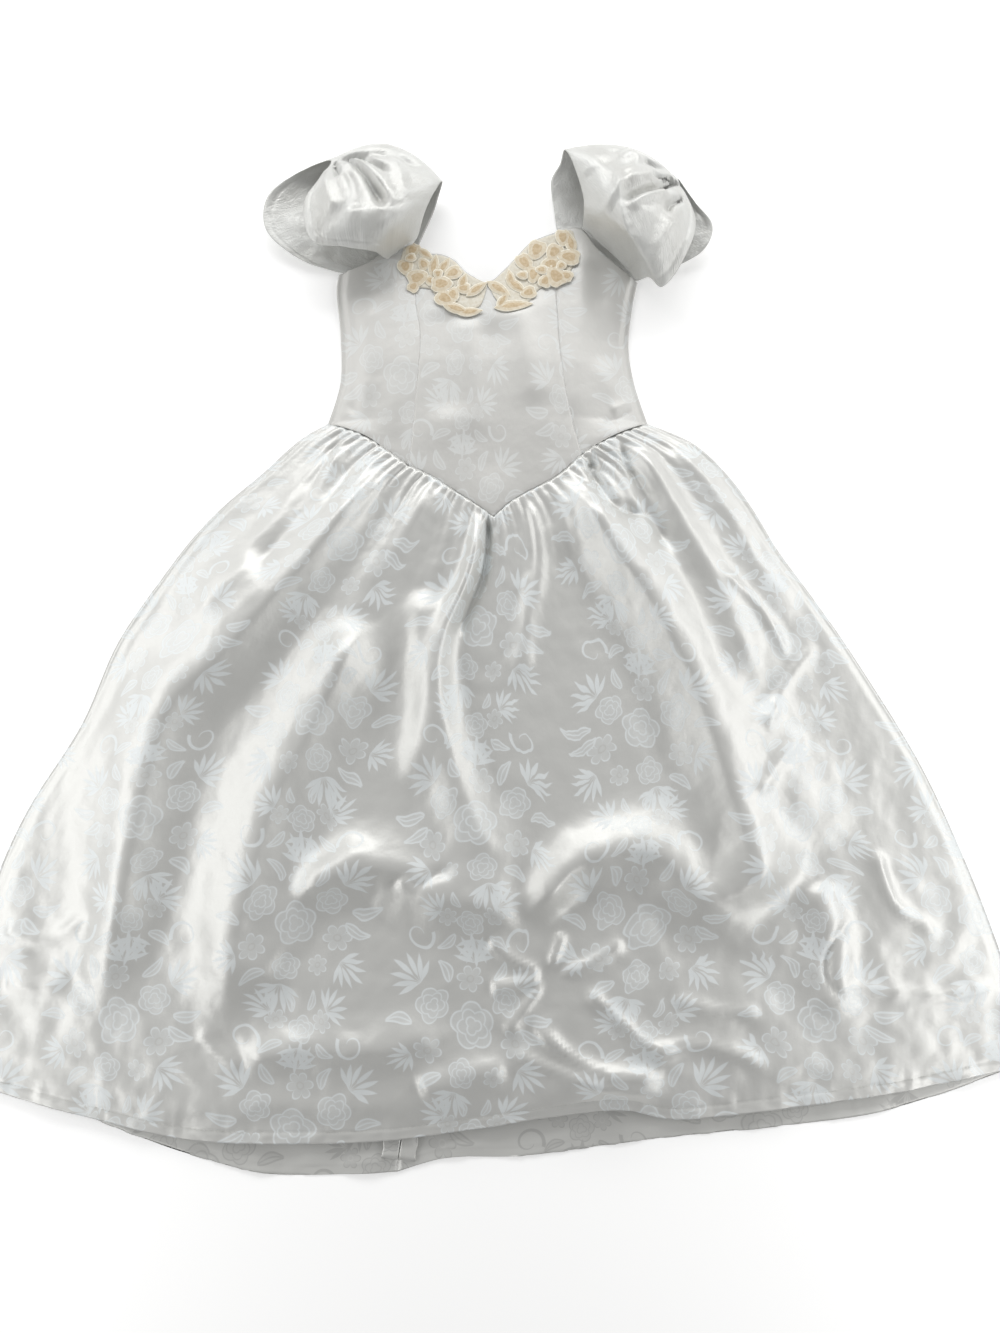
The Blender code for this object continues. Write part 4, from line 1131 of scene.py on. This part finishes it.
# Each station: hem x, y, z, free edge x, y, z, puff out in plan and puff up.
# They run from the front of the bodice over the fold to its back.
sleeveLeft = {
    "node": "sleeve_left",
    "stations": (
        (-0.134, 0.240, 0.000, -0.106, 0.256, 0.000, 0.000, 0.000),
        (-0.152, 0.222, 0.052, -0.090, 0.282, 0.040, 0.000, 0.022),
        (-0.190, 0.223, 0.062, -0.079, 0.308, 0.045, 0.000, 0.030),
        (-0.236, 0.233, 0.062, -0.070, 0.328, 0.042, 0.000, 0.030),
        (-0.248, 0.294, 0.058, -0.066, 0.338, 0.038, 0.018, 0.026),
        (-0.216, 0.360, 0.048, -0.065, 0.345, 0.026, 0.036, 0.008),
        (-0.264, 0.358, 0.028, -0.070, 0.338, 0.012, 0.018, -0.012),
        (-0.307, 0.326, 0.022, -0.080, 0.310, 0.003, 0.000, -0.008),
        (-0.308, 0.276, 0.018, -0.096, 0.270, 0.002, 0.000, -0.006),
        (-0.262, 0.238, 0.010, -0.106, 0.236, 0.002, 0.000, -0.003),
        (-0.209, 0.2225, 0.002, -0.112, 0.2105, 0.002, 0.000, 0.000),
    ),
    "folds": (
        ("trough", (0.002, 0.005, 0.006), -0.011, (
            (-0.212, 0.356), (-0.190, 0.360), (-0.172, 0.356), (-0.154, 0.343), (-0.131, 0.327))),
        ("trough", (0.002, 0.005, 0.009), -0.012, (
            (-0.212, 0.354), (-0.187, 0.347), (-0.167, 0.324), (-0.158, 0.308), (-0.142, 0.280),
            (-0.140, 0.262))),
        ("ridge", (0.006, 0.010, 0.012), 0.006, (
            (-0.200, 0.352), (-0.172, 0.338), (-0.145, 0.310), (-0.122, 0.272))),
        ("trough", (0.002, 0.004), -0.010, ((-0.212, 0.352), (-0.205, 0.335), (-0.202, 0.318))),
        ("fallLeft", (0.006, 0.012, 0.014), 0.006, (
            (-0.220, 0.351), (-0.219, 0.322), (-0.210, 0.291), (-0.198, 0.262))),
        ("fallLeft", (0.012, 0.012), 0.006, (
            (-0.135, 0.372), (-0.119, 0.341), (-0.114, 0.312), (-0.103, 0.288))),
        ("ridge", 0.014, 0.004, ((-0.196, 0.330), (-0.186, 0.290), (-0.170, 0.246))),
        ("trough", 0.0035, -0.014, ((-0.232, 0.356), (-0.217, 0.354), (-0.205, 0.353))),
        ("crease", (0.004, 0.010), -0.007, (
            (-0.206, 0.356), (-0.160, 0.362), (-0.118, 0.358), (-0.090, 0.345))),
        ("trough", (0.004, 0.010), -0.006, ((-0.192, 0.330), (-0.180, 0.300), (-0.176, 0.260))),
    ),
}
sleeveRight = {
    "node": "sleeve_right",
    "stations": (
        (0.196, 0.217, 0.000, 0.129, 0.281, 0.000, 0.000, 0.000),
        (0.214, 0.190, 0.044, 0.129, 0.294, 0.040, 0.000, 0.022),
        (0.231, 0.171, 0.054, 0.127, 0.314, 0.048, 0.000, 0.030),
        (0.258, 0.206, 0.060, 0.116, 0.350, 0.050, 0.000, 0.030),
        (0.277, 0.266, 0.056, 0.106, 0.376, 0.048, -0.006, 0.022),
        (0.257, 0.334, 0.048, 0.102, 0.386, 0.036, -0.024, 0.006),
        (0.284, 0.312, 0.028, 0.098, 0.376, 0.022, -0.010, -0.010),
        (0.307, 0.282, 0.022, 0.086, 0.356, 0.012, 0.000, -0.008),
        (0.297, 0.250, 0.016, 0.090, 0.318, 0.004, 0.000, -0.005),
        (0.262, 0.230, 0.008, 0.096, 0.270, 0.002, 0.000, -0.002),
        (0.206, 0.2105, 0.002, 0.104, 0.202, 0.002, 0.000, 0.000),
    ),
    "folds": (
        ("trough", (0.003, 0.006, 0.006), -0.012, (
            (0.257, 0.330), (0.233, 0.310), (0.200, 0.293), (0.175, 0.274))),
        ("crease", 0.006, 0.005, ((0.169, 0.336), (0.172, 0.276), (0.184, 0.219), (0.202, 0.184))),
        ("trough", (0.003, 0.005), -0.010, ((0.243, 0.347), (0.225, 0.345), (0.208, 0.352))),
        ("trough", (0.002, 0.004), -0.009, ((0.251, 0.332), (0.233, 0.325), (0.216, 0.326))),
        ("trough", (0.003, 0.005, 0.005), -0.009, ((0.262, 0.296), (0.241, 0.283), (0.239, 0.266))),
        ("trough", 0.010, -0.005, ((0.137, 0.340), (0.135, 0.291), (0.150, 0.254))),
        ("ridge", 0.012, 0.005, ((0.240, 0.350), (0.205, 0.362), (0.170, 0.350))),
        ("ridge", 0.010, 0.003, ((0.205, 0.270), (0.200, 0.235), (0.190, 0.215))),
        ("fallRight", 0.014, 0.004, ((0.245, 0.260), (0.225, 0.225), (0.212, 0.190))),
        ("trough", 0.010, -0.003, ((0.172, 0.375), (0.168, 0.352), (0.150, 0.336))),
        ("trough", 0.0035, -0.012, ((0.268, 0.322), (0.254, 0.325), (0.240, 0.330))),
        ("ridge", 0.008, 0.006, ((0.240, 0.300), (0.205, 0.282), (0.180, 0.262))),
        ("fallRight", (0.010, 0.016), 0.008, (
            (0.150, 0.262), (0.175, 0.300), (0.205, 0.318), (0.232, 0.326))),
        ("crease", 0.008, 0.006, ((0.185, 0.372), (0.200, 0.352), (0.190, 0.330), (0.172, 0.318))),
    ),
}
sleeveShape = {
    "columns": 190,
    "rows": 84,
    "clearFront": 0.001,  # how far it stays above the bodice, and above the surface under it
    "clearBack": 0.0006,
    "foldsEnd": 0.44,  # the share of its stations at which the upper layer's folds die away, and how fast
    "foldsEase": 0.05,
    "uneven": 0.0015,
    "hemWidth": 0.010,
    "hemLift": 0.0007,
    "groove": 0.0010,
    "grooveReach": 0.0022,
}


def overBodice(x, y):
    # whether a plan point lies over the bodice
    inX = (x > atHeight(outline["sideLeft"], y)) & (x < atHeight(outline["sideRight"], y))
    armhole = outline["armholeLeft" if x.mean() < 0 else "armholeRight"]
    return inX & (y < acrossAt(armhole, x))


def makeSleeve(sleeve):
    table = np.array(sleeve["stations"])
    stationStep = 1.0 / (len(table) - 1)
    u = np.linspace(0, 1, sleeveShape["columns"] + 1)
    v = np.linspace(0, 1, sleeveShape["rows"] + 1)[:, None]
    line = curveAt(table, u * (len(table) - 1))
    u = u[None]
    hemLine, edgeLine, out, up = line[:, 0:3], line[:, 3:6], line[:, 6], line[:, 7]
    belly = 4.0 * v * (1.0 - v)
    run = edgeLine[:, :2] - hemLine[:, :2]
    length = np.linalg.norm(run, axis=1)
    outwards = np.stack([-run[:, 1], run[:, 0]], axis=1) / length[:, None]
    plan = hemLine[None, :, :2] + run[None] * v[..., None] + outwards[None] * (out[None] * belly)[..., None]
    height = hemLine[None, :, 2] * (1 - v) + edgeLine[None, :, 2] * v + up[None] * belly
    x, y = plan[..., 0], plan[..., 1]
    # up to the first station it rises from the bodice that it is sewn to
    onCloth = clothWall + sleeveShape["clearFront"]
    first = frontHeight(x[:, :1], y[:, :1]) + clothWall + sleeveShape["clearFront"] * (1 + 3 * belly)
    rising = ease(u / stationStep)
    rise = first * (1 - rising) + np.maximum(height, first) * rising
    height = np.where(u < stationStep, rise, height)
    front = 1.0 - ease((u - sleeveShape["foldsEnd"]) / sleeveShape["foldsEase"])
    height = height + foldLift(x, y, sleeve["folds"]) * front * ease(u / (0.8 * stationStep))
    height = height + sleeveShape["uneven"] * cloudAt(x, y, 28.0, 2.6) * rising
    fromHem = length[None] * v
    groove = np.exp(-(((fromHem - sleeveShape["hemWidth"]) / sleeveShape["grooveReach"]) ** 2))
    band = ease((sleeveShape["hemWidth"] + 0.001 - fromHem) / 0.003)
    height = height + sleeveShape["hemLift"] * band - sleeveShape["groove"] * groove
    overFront = overBodice(x, y) & (u < 0.5)
    clear = np.where(overFront, frontHeight(x, y) + onCloth, clothWall + sleeveShape["clearBack"])
    places = heightened(plan, np.maximum(height, clear))
    faced = places[:, ::-1] if x.mean() < 0 else places
    sheet = clothSheet(sleeve["node"] + "_cloth", faced, cutAlong(places), plainSatin)
    layCloth(sleeve["node"])


makeSleeve(sleeveLeft)
makeSleeve(sleeveRight)
print("dress: sleeves made")


lace = {
    "net": 0.0005,
    "clear": 0.0006,
    "fuller": 1.22,
    "cord": 0.0014,  # width of the cord round each petal
    "start": 0.00005,  # a new ring starts this wide, then it is drawn in
    "cordRise": 0.0007,
    "petalWall": 0.0004,
    "hollow": 0.3,  # how high its middle lies, as a share of the cord's rise, and how long and wide it is
    "middle": (0.62, 0.55),
    "petalTaper": (0.72, 0.5),  # half width at the foot, and how much it opens towards the tip
    "notch": (0.10, 0.14),  # depth and width of the notch in a petal's tip
    "leafTaper": (1.25, -0.5),
    "petalLift": 0.0002,
    "step": 0.00010,  # each petal lies a little over the one before it
    "sides": 22,
    "netRows": 18,
    "netColumns": 60,
}
# the upper edge of each net lies along the neckline, and its foot runs round the flowers
laceNets = {
    "lace_left": {
        "top": (
            (-0.118, 0.252), (-0.104, 0.255), (-0.087, 0.240), (-0.065, 0.237), (-0.047, 0.227),
            (-0.030, 0.208), (-0.003, 0.193),
        ),
        "foot": (
            (-0.123, 0.228), (-0.115, 0.206), (-0.100, 0.190), (-0.078, 0.184), (-0.068, 0.162),
            (-0.040, 0.152), (-0.014, 0.158), (-0.004, 0.185),
        ),
    },
    "lace_right": {
        "top": (
            (0.001, 0.193), (0.019, 0.211), (0.037, 0.233), (0.057, 0.256), (0.088, 0.272), (0.110, 0.279),
            (0.116, 0.276),
        ),
        "foot": (
            (0.001, 0.185), (0.012, 0.166), (0.032, 0.156), (0.052, 0.164), (0.070, 0.187), (0.098, 0.194),
            (0.115, 0.225), (0.119, 0.262),
        ),
    },
}
# shape, place, length, width and turn of each petal and leaf
lacePetals = {
    "lace_left": (
        ("petal", -0.106, 0.247, 0.021, 0.018, 60), ("leaf", -0.088, 0.240, 0.026, 0.011, -40),
        ("petal", -0.115, 0.221, 0.023, 0.019, 100), ("petal", -0.090, 0.224, 0.019, 0.015, 300),
        ("petal", -0.103, 0.190, 0.018, 0.014, 240), ("petal", -0.080, 0.198, 0.016, 0.014, 330),
        ("petal", -0.098, 0.203, 0.026, 0.023, 200), ("leaf", -0.076, 0.221, 0.031, 0.013, 80),
        ("leaf", -0.062, 0.220, 0.026, 0.012, 60), ("leaf", -0.036, 0.195, 0.024, 0.012, 75),
        ("petal", -0.050, 0.209, 0.023, 0.018, 30), ("petal", -0.050, 0.176, 0.020, 0.017, 250),
        ("petal", -0.035, 0.185, 0.018, 0.015, 0), ("leaf", -0.017, 0.184, 0.030, 0.012, 38),
        ("petal", -0.060, 0.170, 0.026, 0.021, 150), ("petal", -0.065, 0.192, 0.026, 0.022, 180),
        ("leaf", -0.044, 0.154, 0.036, 0.013, -20), ("leaf", -0.026, 0.149, 0.030, 0.012, 8),
        ("petal", -0.108, 0.234, 0.014, 0.012, 20), ("petal", -0.070, 0.207, 0.014, 0.012, 90),
    ),
    "lace_right": (
        ("leaf", 0.013, 0.185, 0.034, 0.014, -35), ("leaf", 0.018, 0.167, 0.026, 0.011, 60),
        ("leaf", 0.029, 0.200, 0.026, 0.012, 100), ("leaf", 0.037, 0.189, 0.033, 0.013, -40),
        ("leaf", 0.033, 0.159, 0.045, 0.015, 6), ("petal", 0.048, 0.226, 0.026, 0.020, 120),
        ("petal", 0.060, 0.207, 0.024, 0.018, 80), ("petal", 0.053, 0.179, 0.020, 0.017, 20),
        ("petal", 0.065, 0.246, 0.028, 0.022, 70), ("petal", 0.084, 0.224, 0.024, 0.020, 10),
        ("petal", 0.089, 0.243, 0.025, 0.020, 60), ("petal", 0.101, 0.266, 0.024, 0.018, 90),
        ("leaf", 0.112, 0.258, 0.031, 0.014, 100), ("petal", 0.105, 0.206, 0.018, 0.015, -30),
        ("petal", 0.076, 0.197, 0.019, 0.016, -110), ("petal", 0.109, 0.235, 0.028, 0.022, -10),
        ("petal", 0.091, 0.205, 0.029, 0.025, -60), ("petal", 0.071, 0.214, 0.015, 0.013, 0),
        ("petal", 0.098, 0.221, 0.014, 0.012, 50), ("petal", 0.045, 0.205, 0.014, 0.012, 0),
    ),
}


def makeNet(name):
    high, low = (smoothCurve(laceNets[name][edge], lace["netColumns"]) for edge in ("top", "foot"))
    shares = np.linspace(0, 1, lace["netRows"] + 1)[:, None, None]
    plan = high[None] * (1 - shares) + low[None] * shares
    height = frontHeight(plan[..., 0], plan[..., 1]) + clothFinish["wall"] + lace["clear"]
    places = heightened(plan, height)
    sheet = clothSheet(name + "_net", places, cutAlong(places), netMaterial, lace["net"])
    layCloth(name)


def shapeDisc(disc, kind):
    # a round disc becomes a pointed leaf or a petal with a notched tip
    foot, opening = lace["leafTaper" if kind == "leaf" else "petalTaper"]
    depth, wide = lace["notch"]
    for vert in disc:
        share = vert.co.x + 0.5
        if kind == "leaf":
            vert.co.y *= math.sqrt(max(4.0 * share * (1.0 - share), 0.02)) * (foot + opening * share)
        else:
            vert.co.y *= foot + opening * share
            vert.co.x -= depth * math.exp(-((vert.co.y / wide) ** 2)) * (1.0 if share > 0.5 else 0.0)


def makePetal(bm, kind, length, width):
    # a flat petal with a raised cord as its rim and a hollow middle
    disc = bmesh.ops.create_circle(bm, cap_ends=True, segments=lace["sides"], radius=0.5)["verts"]
    shapeDisc(disc, kind)
    bmesh.ops.scale(bm, verts=disc, vec=(length, width, 1.0))
    face = disc[0].link_faces[0]
    face.normal_update()
    if face.normal.z < 0.0:
        face.normal_flip()
    rim = bmesh.ops.inset_region(bm, faces=[face], thickness=lace["start"], use_boundary=True)["faces"]
    inner = list(face.verts)
    cordIn = (1.0 - 2.0 * lace["cord"] / length, 1.0 - 2.0 * lace["cord"] / width, 1.0)
    bmesh.ops.scale(bm, verts=inner, vec=cordIn)
    middle = bmesh.ops.inset_region(bm, faces=[face], thickness=lace["start"], use_boundary=True)["faces"]
    bmesh.ops.scale(bm, verts=list(face.verts), vec=(*lace["middle"], 1.0))
    bmesh.ops.translate(bm, verts=inner, vec=(0.0, 0.0, lace["cordRise"]))
    bmesh.ops.translate(bm, verts=list(face.verts), vec=(0.0, 0.0, lace["hollow"] * lace["cordRise"]))
    for each in rim:
        each.material_index = 1
    for each in middle:
        each.material_index = 2
    return list({vert for each in rim + middle + [face] for vert in each.verts})


def makePetals(name):
    bm = bmesh.new()
    onNet = clothFinish["wall"] + lace["clear"] + lace["net"] + lace["petalLift"]
    for index, (kind, x, y, length, width, turn) in enumerate(lacePetals[name]):
        made = makePetal(bm, kind, length * lace["fuller"], width * lace["fuller"])
        turned = Matrix.Rotation(math.radians(turn), 3, "Z")
        bmesh.ops.rotate(bm, verts=made, cent=(0, 0, 0), matrix=turned)
        bmesh.ops.translate(bm, verts=made, vec=(x, y, onNet + index * lace["step"]))
    plan = np.array([vert.co[:2] for vert in bm.verts])
    for vert, under in zip(bm.verts, frontHeight(plan[:, 0], plan[:, 1])):
        vert.co += Vector((*planShift, under))
    for face in bm.faces:
        face.smooth = True
    shape = bpy.data.meshes.new(name + "_petals")
    bm.to_mesh(shape)
    bm.free()
    for material in (petalMaterial, cordMaterial, sheerMaterial):
        shape.materials.append(material)
    petals = bpy.data.objects.new(name + "_petals", shape)
    bpy.context.scene.collection.objects.link(petals)
    wall = petals.modifiers.new("wall", "SOLIDIFY")
    wall.thickness = lace["petalWall"]
    wall.offset = -1.0
    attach(petals, "root")
    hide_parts(name)


for name in laceNets:
    makeNet(name)
for name in lacePetals:
    makePetals(name)
print("dress: lace made")


studio = {
    "camera": ((0.013, -0.280, 1.273), 10.0, 27.0),  # place, tilt in degrees, lens in millimetres
    "floor": 6.0,
    "floorDrop": 0.0002,
    "floorColour": (0.95, 0.95, 0.945),
    "floorRoughness": 0.95,
    "floorGlow": 0.22,
    "world": 0.30,
    "lightsFace": (0.0, 0.0, 0.0),
    # name, place, size, strength in watts
    "lights": (
        ("left", (-1.25, -0.15, 0.55), (2.8, 0.5), 11.5),
        ("right", (1.25, -0.15, 0.55), (2.8, 0.5), 12.0),
        ("far", (0.0, 1.7, 0.95), (2.8, 0.8), 28.0),
    ),
}


def makeStudio():
    bm = bmesh.new()
    bmesh.ops.create_grid(bm, x_segments=1, y_segments=1, size=studio["floor"] / 2)
    bmesh.ops.translate(bm, verts=bm.verts, vec=(0.0, 0.0, -studio["floorDrop"]))
    shape = bpy.data.meshes.new("floor")
    bm.to_mesh(shape)
    bm.free()
    paint, _, shader = nodesOf("floor")
    shader.inputs["Base Color"].default_value = (*studio["floorColour"], 1.0)
    shader.inputs["Roughness"].default_value = studio["floorRoughness"]
    shader.inputs["Emission Color"].default_value = (1.0, 1.0, 1.0, 1.0)
    shader.inputs["Emission Strength"].default_value = studio["floorGlow"]
    shape.materials.append(paint)
    floor = bpy.data.objects.new("floor", shape)
    bpy.context.scene.collection.objects.link(floor)
    world = bpy.data.worlds.new("studio")
    world.use_nodes = True
    background = world.node_tree.nodes["Background"]
    background.inputs["Color"].default_value = (1.0, 1.0, 1.0, 1.0)
    background.inputs["Strength"].default_value = studio["world"]
    bpy.context.scene.world = world
    for name, place, size, strength in studio["lights"]:
        lamp = bpy.data.lights.new(name, "AREA")
        lamp.shape = "RECTANGLE"
        lamp.size, lamp.size_y = size
        lamp.energy = strength
        light = bpy.data.objects.new(name, lamp)
        light.location = place
        light.visible_camera = False
        facing = Vector(studio["lightsFace"]) - Vector(place)
        light.rotation_euler = facing.to_track_quat("-Z", "Y").to_euler()
        bpy.context.scene.collection.objects.link(light)
    bpy.context.scene.view_settings.view_transform = "Standard"


def makeCamera():
    place, tilt, lens = studio["camera"]
    camera = bpy.data.objects.new("camera", bpy.data.cameras.new("camera"))
    camera.location = place
    camera.rotation_euler = (math.radians(tilt), 0.0, 0.0)
    camera.data.lens = lens
    bpy.context.scene.collection.objects.link(camera)
    bpy.context.scene.camera = camera


makeStudio()
makeCamera()
